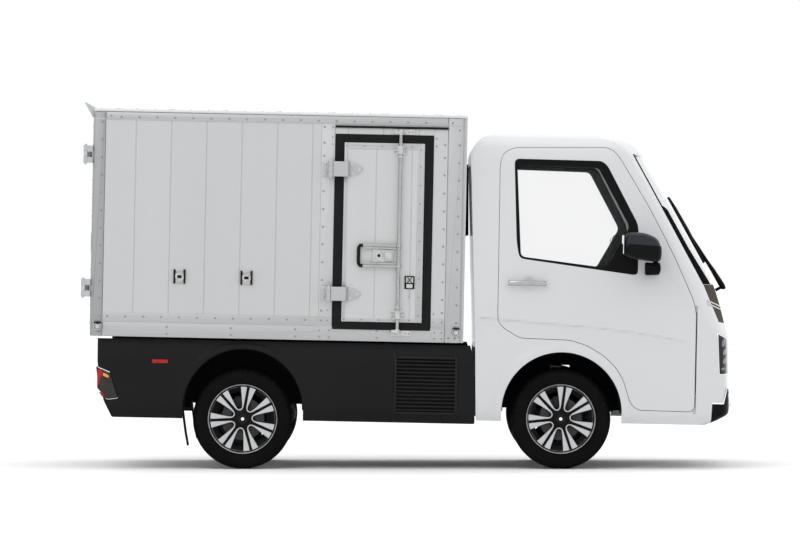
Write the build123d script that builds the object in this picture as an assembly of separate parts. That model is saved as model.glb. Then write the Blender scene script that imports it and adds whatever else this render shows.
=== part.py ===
"""Small electric mail delivery truck: cab-over cab, riveted cargo box with a side door
and two rear doors, charcoal side skirts, ladder frame, steered front wheels.

Units are millimetres.  The body is drawn level in its own body frame (+X forward,
+Y left, +Z up) and is then pitched nose-down by RAKE about the Y axis through the
origin, because the unladen tail sits higher than the nose.  Wheels, hubs and the
front suspension are drawn upright in the ground frame.  The origin is on the ground
under the middle of the truck.
"""
from build123d import *
import math
import os

os.makedirs("parts", exist_ok=True)

# ------------------------------------------------------------------ driving sizes
RAKE = 1.15                                  # nose-down pitch of the sprung body, degrees
SIN = math.sin(math.radians(RAKE))
COS = math.cos(math.radians(RAKE))
WHEELBASE = 1800.0
X_FRONT = 856.5                              # front wheel centre, ground frame
X_REAR = X_FRONT - WHEELBASE
TYRE_R = 283.0                               # 165/65 R14
TYRE_W = 165.0
RIM_R = 178.0                                # bead seat
FLANGE_R = 196.0
WHEEL_Y = 627.5                              # tyre centre plane
AXLE_R = 20.0
RUN = 0.05                                   # running clearance on a radius
GAP = 3.0                                    # panel gap

# cargo box, body frame
BOX_X0 = -1820.0
BOX_X1 = 290.0
BOX_Z0 = 718.5
BOX_Z1 = 2004.0
BOX_Y = 755.0
WALL = 20.0
SIDE_FACE = 758.0                            # outer face of the side door
SD_X0, SD_X1 = -402.0, 52.0                  # side door panel
SD_Z0, SD_Z1 = 828.0, 1839.0
SEAL_X0, SEAL_X1 = -453.0, 101.0             # rubber frame round the side door
SEAL_Z0, SEAL_Z1 = 784.0, 1885.0
SD_AX, SD_AY = -477.0, -795.0                # side door hinge axis
ROD_X, ROD_Y, ROD_R = -85.0, -778.0, 10.0    # side lock rod
RD_FACE = -1824.0                            # outer face of the rear doors
RD_T = 36.0
RD_Z0, RD_Z1 = 778.0, 1925.0
RD_Y0, RD_Y1 = 3.0, 697.0                    # rear door, centre edge to hinge edge
RD_AX, RD_AY = -1862.0, 767.0                # rear hinge axis
HINGE_BANDS = ((1642.0, 1733.0), (941.0, 1026.0))
REAR_BANDS = ((1694.0, 1793.0), (939.0, 1039.0))

# cab, body frame: height, rear x, nose x on the centre line, nose bulge, half width
CAB = (
    (283.0, 369.0, 1700.0, 24.0, 728.0),
    (315.0, 368.0, 1775.0, 28.0, 738.0),
    (351.0, 367.0, 1829.0, 32.0, 744.0),
    (422.0, 365.0, 1834.0, 35.0, 747.0),
    (495.0, 363.0, 1827.0, 36.0, 748.0),
    (766.0, 356.0, 1821.5, 40.0, 748.0),
    (851.0, 353.0, 1803.0, 62.0, 747.5),
    (1076.0, 343.0, 1736.0, 91.0, 739.5),
    (1205.0, 338.0, 1665.0, 89.0, 730.5),
    (1339.0, 333.0, 1590.0, 87.0, 721.1),
    (1473.0, 327.0, 1511.0, 84.0, 711.7),
    (1607.0, 321.0, 1431.0, 80.0, 702.4),
    (1775.0, 313.0, 1326.0, 76.0, 690.6),
    (1809.0, 319.0, 1308.0, 75.0, 684.0),
    (1842.0, 335.0, 1279.0, 74.0, 668.0),
    (1875.0, 365.0, 1239.0, 72.0, 630.0),
    (1895.0, 398.0, 1175.0, 66.0, 580.0),
    (1906.0, 440.0, 1100.0, 60.0, 520.0),
)
CORNER = 105.0                               # plan radius of the front corners
SKIN = 12.0
DOOR_T = 37.0                                # door thickness below the belt
FRAME_T = 24.0                               # door frame thickness above the belt
GLASS_IN = 26.0                              # outer face of the side glass below the skin
GLASS_T = 4.0
GLASS_DROP = 360.0
TUMBLE = 0.07                                # inward lean of the cab side above the belt
DOOR_AX, DOOR_AY = 1602.0, 743.0             # cab door hinge axis
DOOR_HINGES = ((820.0, 910.0), (470.0, 560.0))
HANDLE_X, HANDLE_AY = 754.0, 764.0          # pull handle pin
MIRROR_AX, MIRROR_AY = 1362.0, 842.0         # mirror pin
ARCH_R = 340.0
F_ARCH = (852.0, 339.0)
R_ARCH = (-948.0, 322.0)

DOOR_LINE = (
    (478, 1740), (496, 1800), (561, 1833), (1076, 1843), (1120, 1828), (1158, 1784),
    (1218, 1688), (1326, 1511), (1427, 1324), (1482, 1216), (1554, 1061), (1588, 982),
    (1604, 915), (1604, 385), (1594, 362), (1570, 355), (1283, 358), (1238, 394),
    (1195, 530), (1152, 598), (1085, 661), (987, 718), (895, 746), (609, 752),
    (517, 806), (488, 835), (480, 870),
)
WINDOW_LINE = (
    (560, 1768), (1056, 1764), (1089, 1736), (1262, 1415), (1269, 1372), (1269, 1120),
    (597, 1204), (580, 1300),
)
GLASS_LINE = ((577, 1726), (1006, 1712), (1181, 1394), (1049, 1171), (610, 1217))
PANE_LINE = ((566, 1160), (1066, 1150), (1196, 1394), (1016, 1724), (568, 1740))


# ------------------------------------------------------------------ shape helpers
def block(x0, x1, y0, y1, z0, z1):
    """Rectangular block between two corners."""
    size = Box(abs(x1 - x0), abs(y1 - y0), abs(z1 - z0))
    return Pos((x0 + x1) / 2, (y0 + y1) / 2, (z0 + z1) / 2) * size


def face_on(plane, points):
    """Closed polygon on a plane."""
    outline = Polyline(*points, close=True)
    return plane * make_face(outline)


def prism_y(points, y0, y1):
    """Side-view polygon (x, z) pulled across the truck."""
    plane = Plane(origin=(0, min(y0, y1), 0), x_dir=(1, 0, 0), z_dir=(0, -1, 0))
    return extrude(face_on(plane, points), amount=abs(y1 - y0), dir=(0, 1, 0))


def prism_x(points, x0, x1):
    """Front-view polygon (y, z) pulled along the truck."""
    plane = Plane(origin=(min(x0, x1), 0, 0), x_dir=(0, 1, 0), z_dir=(1, 0, 0))
    return extrude(face_on(plane, points), amount=abs(x1 - x0))


def prism_z(points, z0, z1):
    """Plan-view polygon (x, y) pulled upwards."""
    plane = Plane(origin=(0, 0, min(z0, z1)))
    return extrude(face_on(plane, points), amount=abs(z1 - z0))


def rod(start, end, radius):
    """Round bar between two points."""
    start, end = Vector(*start), Vector(*end)
    axis = end - start
    bar = Cylinder(radius, axis.length, align=(Align.CENTER, Align.CENTER, Align.MIN))
    return Plane(origin=start, z_dir=axis) * bar


def ring(start, end, outer, inner):
    """Round tube between two points."""
    return rod(start, end, outer) - rod(start, end, inner)


def inset(points, amount):
    """Side-view polygon shrunk (or grown, if negative) by a straight offset."""
    base = make_face(Polyline(*points, close=True))
    moved = offset(base, amount=-amount, kind=Kind.INTERSECTION)
    return moved


def slab_y(sketch, y0, y1):
    """Side-view sketch drawn in XY, stood up and pulled across the truck."""
    plane = Plane(origin=(0, min(y0, y1), 0), x_dir=(1, 0, 0), z_dir=(0, -1, 0))
    return extrude(plane * sketch, amount=abs(y1 - y0), dir=(0, 1, 0))


def other_side(part):
    """The same part on the left of the truck."""
    return mirror(part, about=Plane.XZ)


def pair(part):
    """A right-hand part and its left-hand twin."""
    return [part, other_side(part)]


def emit(name, parts, raked=True):
    """Write one sub-part; body-frame parts are pitched nose-down by RAKE."""
    solids = []
    for part in parts:
        solids.extend(part.solids())
    shape = Compound(solids)
    if raked:
        shape = Rot(0, RAKE, 0) * shape
    export_step(shape, f"parts/{name}.step")


def body_xz(x, z):
    """Ground-frame point to body-frame point."""
    return x * COS - z * SIN, x * SIN + z * COS


RW_X, RW_Z = body_xz(X_REAR, TYRE_R)


# ------------------------------------------------------------------ cab surface
def cab_section(z, rear, nose, bulge, half, cut, cut_front):
    """One level of the cab: flat back, straight sides, round corners, bowed nose."""
    w = half - cut
    front = nose - cut_front
    edge = w - CORNER * 0.9
    x_edge = front - bulge
    slope = 2.0 * bulge / edge
    x_corner = x_edge - (w - edge) * slope
    x_side = x_corner - CORNER * 0.55
    back = rear + cut
    p = [(back, -w), (x_side, -w), (x_edge, -edge), (front, 0), (x_edge, edge), (x_side, w), (back, w)]
    level = Plane(origin=(0, 0, z))
    wire = Curve() + [
        Line(p[6], p[0]),
        Line(p[0], p[1]),
        Bezier(p[1], (x_corner, -w), p[2]),
        ThreePointArc(p[2], p[3], p[4]),
        Bezier(p[4], (x_corner, w), p[5]),
        Line(p[5], p[6]),
    ]
    return level * make_face(wire)


def cab_solid(cut=0.0, cut_front=0.0, top=0.0):
    """Closed cab form, shrunk sideways by cut, at the nose by cut_front, at the roof by top."""
    faces = []
    for index, (z, rear, nose, bulge, half) in enumerate(CAB):
        low = 1.0 if index == 0 and cut else 0.0
        height = z - top if z > 1780.0 else z - low
        faces.append(cab_section(height, rear, nose, bulge, half, cut, cut_front))
    return loft(faces, ruled=True)


OUTER = cab_solid()
INNER = cab_solid(SKIN, SKIN, 14.0)


def side_layer(depth_out, depth_in):
    """Layer of the cab's right side between two depths below the surface."""
    outside = OUTER if depth_out == 0 else cab_solid(depth_out, depth_out)
    return (outside - cab_solid(depth_in, depth_in)) & block(440, 1650, -760, -560, 300, 1880)


# ------------------------------------------------------------------ cab
WINDSHIELD_LINE = ((1233, 1809), (1400, 1809), (1800, 1200), (1800, 1080), (1642.5, 1080))
BAND_LINE = ((1644.5, 1076), (1820, 1076), (1840, 848), (1736, 865))
BUMPER_LINE = ((1692, 200), (1900, 200), (1900, 492), (1789, 492), (1768, 404), (1702, 404))
LAMP_LINE = ((1722, 811), (1737, 800), (1812, 760), (1812, 572), (1735, 566))
REAR_WINDOW = (-480.0, 480.0, 1330.0, 1735.0)


def door_opening(grow):
    """Cutter for one cab door opening, right side."""
    return slab_y(inset(DOOR_LINE, -grow), -800, -600)


def hinge_zone(y_sign, radius):
    """Round clearance along the cab door hinge axis at the hinge heights."""
    zones = []
    for low, high in DOOR_HINGES:
        start = (DOOR_AX, y_sign * DOOR_AY, low - 2)
        end = (DOOR_AX, y_sign * DOOR_AY, high + 2)
        zones.append(rod(start, end, radius))
    return zones


def make_cab_shell():
    """White cab: skin, floor, roof and pillars, with every opening cut."""
    upper = INNER & block(200, 1900, -800, 800, 702, 1950)
    well = INNER & block(1212, 1900, -800, 800, 452, 703)
    below_rear = INNER & block(200, 1200, -800, 800, 100, 690)
    below_front = INNER & block(1199, 1900, -800, 800, 100, 440)
    shell = OUTER - upper - well - below_rear - below_front
    shell -= block(200, 420, -690, 690, 100, 690)
    shell -= prism_y(WINDSHIELD_LINE, -900, 900)
    shell -= prism_y(BAND_LINE, -900, 900)
    shell -= prism_y(BUMPER_LINE, -900, 900)
    y0, y1, z0, z1 = REAR_WINDOW
    shell -= block(300, 380, y0, y1, z0, z1)
    arch = rod((F_ARCH[0], -800, F_ARCH[1]), (F_ARCH[0], -640, F_ARCH[1]), ARCH_R)
    arch += block(F_ARCH[0] - ARCH_R, F_ARCH[0] + ARCH_R, -800, -640, 100, F_ARCH[1])
    for sign, cutter in ((-1, arch + door_opening(0.0)), (1, other_side(arch + door_opening(0.0)))):
        shell -= cutter
    lamp = prism_y(LAMP_LINE, -800, -520)
    shell -= lamp
    shell -= other_side(lamp)
    front_gap = block(DOOR_AX - 6, DOOR_AX + 6.5, -800, -700, 385, 915)
    shell -= front_gap
    shell -= other_side(front_gap)
    for sign in (-1, 1):
        for zone in hinge_zone(sign, 8.5):
            shell -= zone
    knuckles = []
    for low, high in DOOR_HINGES:
        for z0, z1 in ((low, low + 28), (high - 28, high)):
            knuckle = rod((DOOR_AX, -DOOR_AY, z0), (DOOR_AX, -DOOR_AY, z1), 6.5)
            knuckle += block(DOOR_AX + 1, DOOR_AX + 20, -DOOR_AY - 2, -DOOR_AY + 6, z0, z1)
            knuckles.append(knuckle)
        knuckles.append(rod((DOOR_AX, -DOOR_AY, low), (DOOR_AX, -DOOR_AY, high), 3.5))
    for piece in knuckles:
        shell += piece
        shell += other_side(piece)
    return [shell]


def make_cab_glass():
    """Windshield and the small rear window."""
    line = inset(WINDSHIELD_LINE, 1.0)
    shield = (OUTER & slab_y(line, -640, 640)) - cab_solid(0.0, 6.5)
    y0, y1, z0, z1 = REAR_WINDOW
    rear = prism_y(((304, z1 - 1), (310, z1 - 1), (318, z0 + 1), (312, z0 + 1)), y0 + 1, y1 - 1)
    return [shield, rear]


def make_front_panel():
    """Dark cowl band under the windshield with its bright strip."""
    line = inset(BAND_LINE, 1.0)
    band = (OUTER & slab_y(line, -760, 760)) - cab_solid(8.0, 8.0)
    return [band]


def make_bumper():
    """Dark front bumper with round lamps and a flat number board."""
    line = inset(BUMPER_LINE, 1.0)
    bumper = (OUTER & slab_y(line, -760, 760)) - cab_solid(30.0, 30.0)
    badge = rod((1818, 0, 668), (1834, 0, 668), 45) - OUTER
    lamps = []
    for sign in (-1, 1):
        bumper -= rod((1790, sign * 560, 421), (1900, sign * 560, 421), 40)
        lamp = rod((1792, sign * 560, 421), (1816, sign * 560, 421), 38)
        lamps.append(lamp)
    return [bumper, badge] + lamps


def make_headlights():
    """Tall headlight units let into the front corners."""
    lamp = (OUTER & slab_y(inset(LAMP_LINE, 1.5), -760, -560)) - cab_solid(40.0, 40.0)
    return pair(lamp)


def make_cab_door():
    """Right cab door: hollow box below the belt, thin frame round the window."""
    outline = inset(DOOR_LINE, GAP)
    belt = ((400, 1229), (1700, 1066), (1700, 200), (400, 200))
    lower = side_layer(0, DOOR_T) & slab_y(outline, -800, -560) & prism_y(belt, -800, -560)
    upper = side_layer(0, FRAME_T) & slab_y(outline, -800, -560)
    upper -= prism_y(belt, -800, -560)
    upper -= prism_y(WINDOW_LINE, -800, -560)
    hollow = side_layer(6, DOOR_T - 6) & slab_y(inset(DOOR_LINE, 16), -800, -560)
    hollow = hollow & prism_y(belt, -800, -560)
    door = upper + (lower - hollow)
    door -= block(DOOR_AX + 0.5, 1700, -800, -500, 300, 1000)
    door -= rod((658, -760, 1064), (658, -723, 1064), 50)
    cup = rod((658, -725, 1064), (658, -719.5, 1064), 54)
    door += cup
    for low, high in DOOR_HINGES:
        for z0, z1 in ((low - 2, low + 29), (high - 29, high + 2)):
            door -= rod((DOOR_AX, -DOOR_AY, z0), (DOOR_AX, -DOOR_AY, z1), 8.5)
        mid = (low + 29, high - 29)
        ear = rod((DOOR_AX, -DOOR_AY, mid[0]), (DOOR_AX, -DOOR_AY, mid[1]), 6.5)
        ear += block(DOOR_AX - 20, DOOR_AX - 1, -DOOR_AY - 2, -DOOR_AY + 6, mid[0], mid[1])
        door += ear
        door -= rod((DOOR_AX, -DOOR_AY, mid[0] - 1), (DOOR_AX, -DOOR_AY, mid[1] + 1), 3.5 + RUN)
    for z0, z1 in ((1035, 1047), (1081, 1093)):
        door += block(HANDLE_X - 10, HANDLE_X + 10, -HANDLE_AY - 12, -738, z0, z1)
    door += rod((HANDLE_X, -HANDLE_AY, 1040), (HANDLE_X, -HANDLE_AY, 1088), 4)
    return door


def make_door_trim():
    """Black window frame, sail plate and mirror foot of the right cab door."""
    frame = side_layer(2, FRAME_T - 2) & slab_y(inset(WINDOW_LINE, 0.5), -800, -560)
    frame -= prism_y(GLASS_LINE, -800, -560)
    foot = block(1331, 1393, -852, -738, 1122, 1150)
    foot += block(1335, 1389, -868, -816, 1122, 1190)
    foot -= OUTER
    pin = rod((MIRROR_AX, -MIRROR_AY, 1180), (MIRROR_AX, -MIRROR_AY, 1230), 9)
    return [frame, foot + pin]


def make_pane():
    """Right door glass, flat and leaning in with the cab side."""
    lean = math.atan(TUMBLE)
    base_z = 1400.0
    y_at = 721.1 - (base_z - 1339.0) * TUMBLE - GLASS_IN
    plane = Plane(origin=(0, -y_at, base_z), x_dir=(1, 0, 0), z_dir=(0, -math.cos(lean), math.sin(lean)))
    stretch = 1.0 / math.cos(lean)
    points = [(x, (z - base_z) * stretch) for x, z in PANE_LINE]
    return extrude(plane * make_face(Polyline(*points, close=True)), amount=-GLASS_T)


def make_cab_handle():
    """Pull handle on the right cab door, pinned at its front end."""
    grip = block(528, HANDLE_X, -779, -765, 1049, 1079)
    grip += block(528, 546, -779, -748, 1049, 1079)
    grip += block(HANDLE_X - 10, HANDLE_X + 10, -779, -747, 1049, 1079)
    grip -= rod((HANDLE_X, -HANDLE_AY, 1040), (HANDLE_X, -HANDLE_AY, 1088), 4 + RUN)
    return grip


def make_mirror():
    """Right mirror head on its vertical pin."""
    top = ((1190, 1366), (1300, 1362), (1372, 1330), (1394, 1270), (1388, 1194), (1230, 1212), (1168, 1240))
    head = prism_y(top, -982, -802)
    head -= rod((MIRROR_AX, -MIRROR_AY, 1190), (MIRROR_AX, -MIRROR_AY, 1233), 9 + RUN)
    return head


# ------------------------------------------------------------------ cab inside
WHEEL_C = (1210.0, 300.0, 1050.0)
COL_DIR = (0.5, 0.0, -0.8660254)


def along_column(distance):
    """Point on the steering column axis below the wheel centre."""
    return tuple(c + d * distance for c, d in zip(WHEEL_C, COL_DIR))


def make_dashboard():
    """Dashboard with a tunnel for the steering column."""
    line = ((1392, 800), (1392, 1040), (1420, 1068), (1590, 1068), (1680, 860), (1680, 800))
    dash = prism_y(line, -640, 640)
    dash -= rod(along_column(100), along_column(760), 34)
    return [dash]


def make_seats():
    """Driver and passenger seats: cushion and back."""
    solids = []
    for y0, y1 in ((-610, -20), (20, 610)):
        solids.append(block(500, 1010, y0, y1, 722, 850))
        back = ((392, 852), (505, 852), (452, 1330), (368, 1330))
        solids.append(prism_y(back, y0, y1))
        solids.append(block(520, 980, y0 + 40, y1 - 40, 703, 721.5))
    return solids


def make_steering_wheel():
    """Rim, three spokes, hub and the upper shaft."""
    plane = Plane(origin=WHEEL_C, x_dir=(0.8660254, 0, 0.5), z_dir=(-0.5, 0, 0.8660254))
    wheel = Torus(158, 12) + Cylinder(36, 30)
    for angle in (90, 210, 330):
        spoke = Rot(0, 0, angle) * (Pos(95, 0, 0) * Box(120, 26, 10))
        wheel += spoke
    shaft = rod(along_column(10), along_column(250), 10)
    return [(plane * wheel) + shaft]


def make_steering_gear():
    """Column tube, lower shaft and rack housing."""
    column = ring(along_column(40), along_column(660), 24, 10 + RUN)
    mount = block(1500, 1570, 262, 338, 453, 470) - rod(along_column(560), along_column(760), 24.5)
    low = (1540, 300, 426)
    shaft = rod(low, (1010, 200, 290), 10)
    housing = ring((RACK_BX, -250, RACK_BZ), (RACK_BX, 250, RACK_BZ), 24, 12 + RUN)
    return [column, mount, shaft, housing]


RACK_X, RACK_Z = X_FRONT + 110.0, TYRE_R - 39.0
RACK_BX, RACK_BZ = body_xz(RACK_X, RACK_Z)


def make_rack():
    """Rack bar with the two tie rods and their flat eyes (ground frame)."""
    bar = rod((RACK_X, -330, RACK_Z), (RACK_X, 330, RACK_Z), 12)
    for sign in (-1, 1):
        bar += rod((RACK_X, sign * 325, RACK_Z), (RACK_X, sign * 548, RACK_Z), 7)
        bar += rod((RACK_X, sign * 560, RACK_Z - 6), (RACK_X, sign * 560, RACK_Z + 6), 18)
    return [bar]


# ------------------------------------------------------------------ running gear, ground frame
KING_Y = 570.0


def make_front_suspension():
    """Upper and lower arms on a bracket, with the king pin, both sides."""
    solids = []
    for z0, z1 in ((163, 188), (373, 392)):
        arm = prism_z(((806, -386), (907, -386), (884, -570), (829, -570)), z0, z1)
        arm += rod((X_FRONT, -KING_Y, z0), (X_FRONT, -KING_Y, z1), 28)
        arm -= rod((X_FRONT, -KING_Y, z0 - 1), (X_FRONT, -KING_Y, z1 + 1), 12.2)
        solids.append(arm)
    solids.append(rod((X_FRONT, -KING_Y, 160), (X_FRONT, -KING_Y, 396), 12))
    solids.append(block(796, 917, -385.5, -373, 158, 398))
    return [side for solid in solids for side in pair(solid)]


def make_knuckle():
    """Right steering knuckle: barrel, stub axle, steering arm."""
    knuckle = rod((X_FRONT, -KING_Y, TYRE_R - 88), (X_FRONT, -KING_Y, TYRE_R + 88), 26)
    knuckle += rod((X_FRONT, -KING_Y, TYRE_R), (X_FRONT, -664, TYRE_R), AXLE_R)
    knuckle += rod((X_FRONT, -KING_Y - 24, TYRE_R), (X_FRONT, -604, TYRE_R), 44)
    z0, z1 = TYRE_R - 62, TYRE_R - 48
    knuckle += block(X_FRONT, RACK_X, -572, -548, z0, z1)
    knuckle += rod((RACK_X, -560, z0), (RACK_X, -560, z1), 18)
    knuckle -= rod((X_FRONT, -KING_Y, 100), (X_FRONT, -KING_Y, 500), 12 + RUN)
    return knuckle


def revolve_y(points, x, z, y):
    """Turned part about a Y axis; points are (along the axis, radius)."""
    plane = Plane(origin=(x, y, z), x_dir=(0, -1, 0), z_dir=(1, 0, 0))
    turned = plane * make_face(Polyline(*points, close=True))
    return revolve(turned, axis=Axis((x, y, z), (0, 1, 0)))


def make_tyre(x):
    """Right-hand tyre, hollow, with three tread grooves."""
    half = TYRE_W / 2
    tread = [(-60, TYRE_R - 4), (-40, TYRE_R - 1)]
    for centre in (-26, 0, 26):
        tread += [(centre - 4, TYRE_R), (centre - 4, TYRE_R - 7)]
        tread += [(centre + 4, TYRE_R - 7), (centre + 4, TYRE_R)]
    tread += [(40, TYRE_R - 1), (60, TYRE_R - 4)]
    outside = [(-65, RIM_R + 0.2), (-70.3, 198), (-half, 236), (-76, 264)] + tread
    outside += [(76, 264), (half, 236), (70.3, 198), (65, RIM_R + 0.2)]
    inside = [(52, RIM_R + 0.2), (60, 206), (70, 236), (62, 262)]
    inside += [(-62, 262), (-70, 236), (-60, 206), (-52, RIM_R + 0.2)]
    return revolve_y(outside + inside, x, TYRE_R, -WHEEL_Y)


SPOKES = 7


def make_rim(x):
    """Right-hand alloy rim: barrel, seven paired spokes, hub and cap."""
    barrel = [(-76, FLANGE_R), (-71, FLANGE_R), (-70, RIM_R), (-40, RIM_R - 1), (-30, 160), (10, 160)]
    barrel += [(30, RIM_R - 2), (70, RIM_R), (71, FLANGE_R), (76, FLANGE_R), (76, RIM_R - 6)]
    barrel += [(32, RIM_R - 9), (12, 153), (-32, 153), (-44, RIM_R - 9), (-76, RIM_R - 7)]
    rim = revolve_y(barrel, x, TYRE_R, -WHEEL_Y)
    disc = ring((x, -665, TYRE_R), (x, -683, TYRE_R), 172, 20)
    for index in range(SPOKES):
        turn = 360.0 / SPOKES * index + 90.0
        window = Polyline((74, -9), (110, -30), (150, -40), (158, 0), (150, 40), (110, 30), (74, 9), close=True)
        plane = Plane(origin=(x, -700, TYRE_R), x_dir=(1, 0, 0), z_dir=(0, -1, 0))
        cutter = extrude(plane * (Rot(0, 0, turn) * make_face(window)), amount=60, dir=(0, 1, 0))
        disc -= cutter
        slot = Rot(0, 0, turn + 180.0 / SPOKES) * (Pos(122, 0, 0) * Rectangle(56, 8))
        disc -= extrude(plane * slot, amount=60, dir=(0, 1, 0))
    rim += disc
    rim += rod((x, -606, TYRE_R), (x, -688, TYRE_R), 66)
    rim += rod((x, -686, TYRE_R), (x, -696, TYRE_R), 30)
    rim -= rod((x, -600, TYRE_R), (x, -672, TYRE_R), AXLE_R + RUN)
    return rim


def make_rear_axle():
    """Beam axle with drive unit and wheel stubs (body frame)."""
    beam = rod((RW_X, -548, RW_Z), (RW_X, 548, RW_Z), 38)
    beam += rod((RW_X, -664, RW_Z), (RW_X, 664, RW_Z), AXLE_R)
    beam += rod((RW_X, -95, RW_Z), (RW_X, 95, RW_Z), 112)
    motor = rod((RW_X + 200, -150, RW_Z + 18), (RW_X + 200, 150, RW_Z + 18), 84)
    link = block(RW_X + 60, RW_X + 200, -60, 60, RW_Z - 30, RW_Z + 60)
    axle = beam + motor + link
    for sign in (-1, 1):
        axle += rod((RW_X, sign * 548, RW_Z), (RW_X, sign * 596, RW_Z), 80)
    return [axle]


def leaf(half, z_mid, rise):
    """One spring leaf as a shallow five-piece bow."""
    xs = [-half, -half * 0.6, -half * 0.2, half * 0.2, half * 0.6, half]
    lift = [rise, rise * 0.36, 0, 0, rise * 0.36, rise]
    upper = [(RW_X + x, z_mid + r + 7) for x, r in zip(xs, lift)]
    lower = [(RW_X + x, z_mid + r) for x, r in zip(xs, lift)]
    return prism_y(upper + lower[::-1], -446, -386)


def make_leaf_springs():
    """Three-leaf springs with clamp plates, U-bolts and eyes."""
    base = RW_Z + 39.5
    solids = [leaf(400, base + 16.4, 62), leaf(290, base + 8.2, 32.6), leaf(180, base, 12.6)]
    solids.append(block(RW_X - 54, RW_X + 54, -447, -385, base + 24, base + 34))
    for dx in (-46, 46):
        for y in (-452.5, -379.5):
            solids.append(rod((RW_X + dx, y, RW_Z - 48), (RW_X + dx, y, base + 40), 5))
    solids.append(block(RW_X - 54, RW_X + 54, -460, -372, RW_Z - 60, RW_Z - 48.5))
    for dx in (-412, 412):
        eye = rod((RW_X + dx, -446, base + 84), (RW_X + dx, -386, base + 84), 15)
        hanger = block(RW_X + dx - 22, RW_X + dx + 22, -450, -371, base + 100, base + 150)
        solids += [eye, hanger]
    return [side for solid in solids for side in pair(solid)]


def make_shocks():
    """Rear dampers beside the springs, front dampers inside the wheel housings."""
    solids = []
    fx = body_xz(X_FRONT, TYRE_R)[0]
    for x0, x1, z0, z1 in ((RW_X - 70, RW_X - 130, 262, 430), (fx, fx, 415, 560)):
        y = -474 if z0 < 300 else -452
        middle = ((x0 + x1) / 2, y, (z0 + z1) / 2)
        solids.append(rod((x0, y, z0), middle, 22))
        solids.append(rod(middle, (x1, y, z1), 9))
    return [side for solid in solids for side in pair(solid)]


# ------------------------------------------------------------------ frame and under-body
RAIL_Y0, RAIL_Y1 = 310.0, 370.0


def make_chassis():
    """Ladder frame: two channel rails with flat tow eyes, cross members, shock towers."""
    solids = []
    rail = block(-1700, 1190, -RAIL_Y1, -RAIL_Y0, 420, 505) + block(1110, 1690, -RAIL_Y1, -RAIL_Y0, 345, 430)
    rail -= block(-1710, 1110, -RAIL_Y1 + 5, -RAIL_Y0 + 1, 425, 500)
    for x, z, under in ((-1655, 385, 421), (1665, 318, 346)):
        tongue = block(x - 30, x + 34, -362, -318, z - 6, z + 6)
        tongue += block(x - 30, x - 20, -362, -318, z - 6, under)
        tongue -= rod((x + 4, -340, z - 20), (x + 4, -340, z + 20), 14)
        rail += tongue
    solids += pair(rail)
    for x in (-1640, -1240, -600, 60, 620):
        solids.append(block(x - 30, x + 30, -RAIL_Y1 + 5, RAIL_Y1 - 5, 430, 495))
    solids.append(block(1600, 1660, -RAIL_Y0, RAIL_Y0, 360, 420))
    tower = block(822, 880, -480, -371, 562, 574)
    tower += block(822, 880, -383, -371, 440, 574)
    solids += pair(tower)
    for x in (-1600, -1350, -540, -200, 200):
        solids += pair(block(x - 25, x + 25, -700, -371, 470, 500) - block(x - 30, x + 30, -600, -385, 462, 485))
        solids += pair(block(x - 25, x + 25, -365, -315, 505.5, 716))
    return solids


def make_battery():
    """Traction battery slung between the rails."""
    tray = block(-560, 470, -300, 300, 296, 400)
    lid = block(-548, 458, -288, 288, 400.5, 414)
    return [tray, lid]


def liner(cx, cz, radius, y_out, y_in):
    """Half-round wheel housing with an inner wall, right side."""
    shell = rod((cx, -y_out, cz), (cx, -y_in, cz), radius + 5) - rod((cx, -y_out - 1, cz), (cx, -y_in - 5, cz), radius)
    return shell & block(cx - 400, cx + 400, -y_out, -y_in, 350, cz + 400)


def make_liners():
    """Wheel housings over all four wheels."""
    front = liner(851, 325, 345, 728, 388)
    front -= block(785, 930, -400, -380, 150, 600)
    rear = liner(R_ARCH[0], R_ARCH[1], 345, 702, 500)
    return pair(front) + pair(rear)


SKIRT = ((-745, 612), (-718, 706), (-698, 706), (-725, 606), (-725, 340), (-706, 268), (-724, 268), (-745, 333))


def make_skirts():
    """Charcoal side skirts with the rear wheel opening."""
    line = ((-1776, 720), (-1773, 570), (-1735, 356), (-1688, 262), (363, 262), (355, 618), (326, 720))
    skirt = prism_x(SKIRT, -1776, 368) & prism_y(line, -760, -690)
    skirt -= rod((R_ARCH[0], -760, R_ARCH[1]), (R_ARCH[0], -690, R_ARCH[1]), ARCH_R)
    skirt -= block(R_ARCH[0] - ARCH_R, R_ARCH[0] + ARCH_R, -760, -690, 200, R_ARCH[1])
    skirt -= block(-101, 265, -760, -690, 308, 642)
    skirt -= prism_y(TAIL_LINE, -760, -690)
    skirt -= block(-1467, -1374, -760, -738, 570, 594)
    pieces = [skirt]
    corner = block(-1765, -1745, -697, -600, 380, 700) & prism_y(line, -760, -560)
    pieces.append(corner - prism_y(TAIL_LINE, -760, -560))
    return [side for piece in pieces for side in pair(piece)]


TAIL_LINE = ((-1790, 553), (-1698, 515), (-1650, 369), (-1718, 359), (-1780, 430))


def make_vents():
    """Louvred grille panels in the skirts."""
    panel = block(-99, 263, -741, -733, 310, 640) - block(-84, 248, -760, -700, 326, 624)
    for index in range(13):
        z = 335 + index * 22.6
        panel += prism_x(((-741, z - 6), (-733, z + 6), (-731, z + 6), (-731, z + 2), (-739, z - 6)), -90, 254)
    return pair(panel)


def make_rear_lamps():
    """Tail lamps on the rear corners and side markers."""
    lamp = prism_y(inset_points(TAIL_LINE, 1.5), -744, -700) & block(-1776, -1600, -744, -700, 300, 600)
    marker = block(-1465.5, -1375.5, -748, -739, 571.5, 592.5)
    return pair(lamp) + pair(marker)


def inset_points(points, amount):
    """Polygon points pulled towards their mean by a small amount."""
    cx = sum(p[0] for p in points) / len(points)
    cz = sum(p[1] for p in points) / len(points)
    moved = []
    for x, z in points:
        length = math.hypot(x - cx, z - cz)
        scale = (length - amount) / length
        moved.append((cx + (x - cx) * scale, cz + (z - cz) * scale))
    return moved


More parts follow.
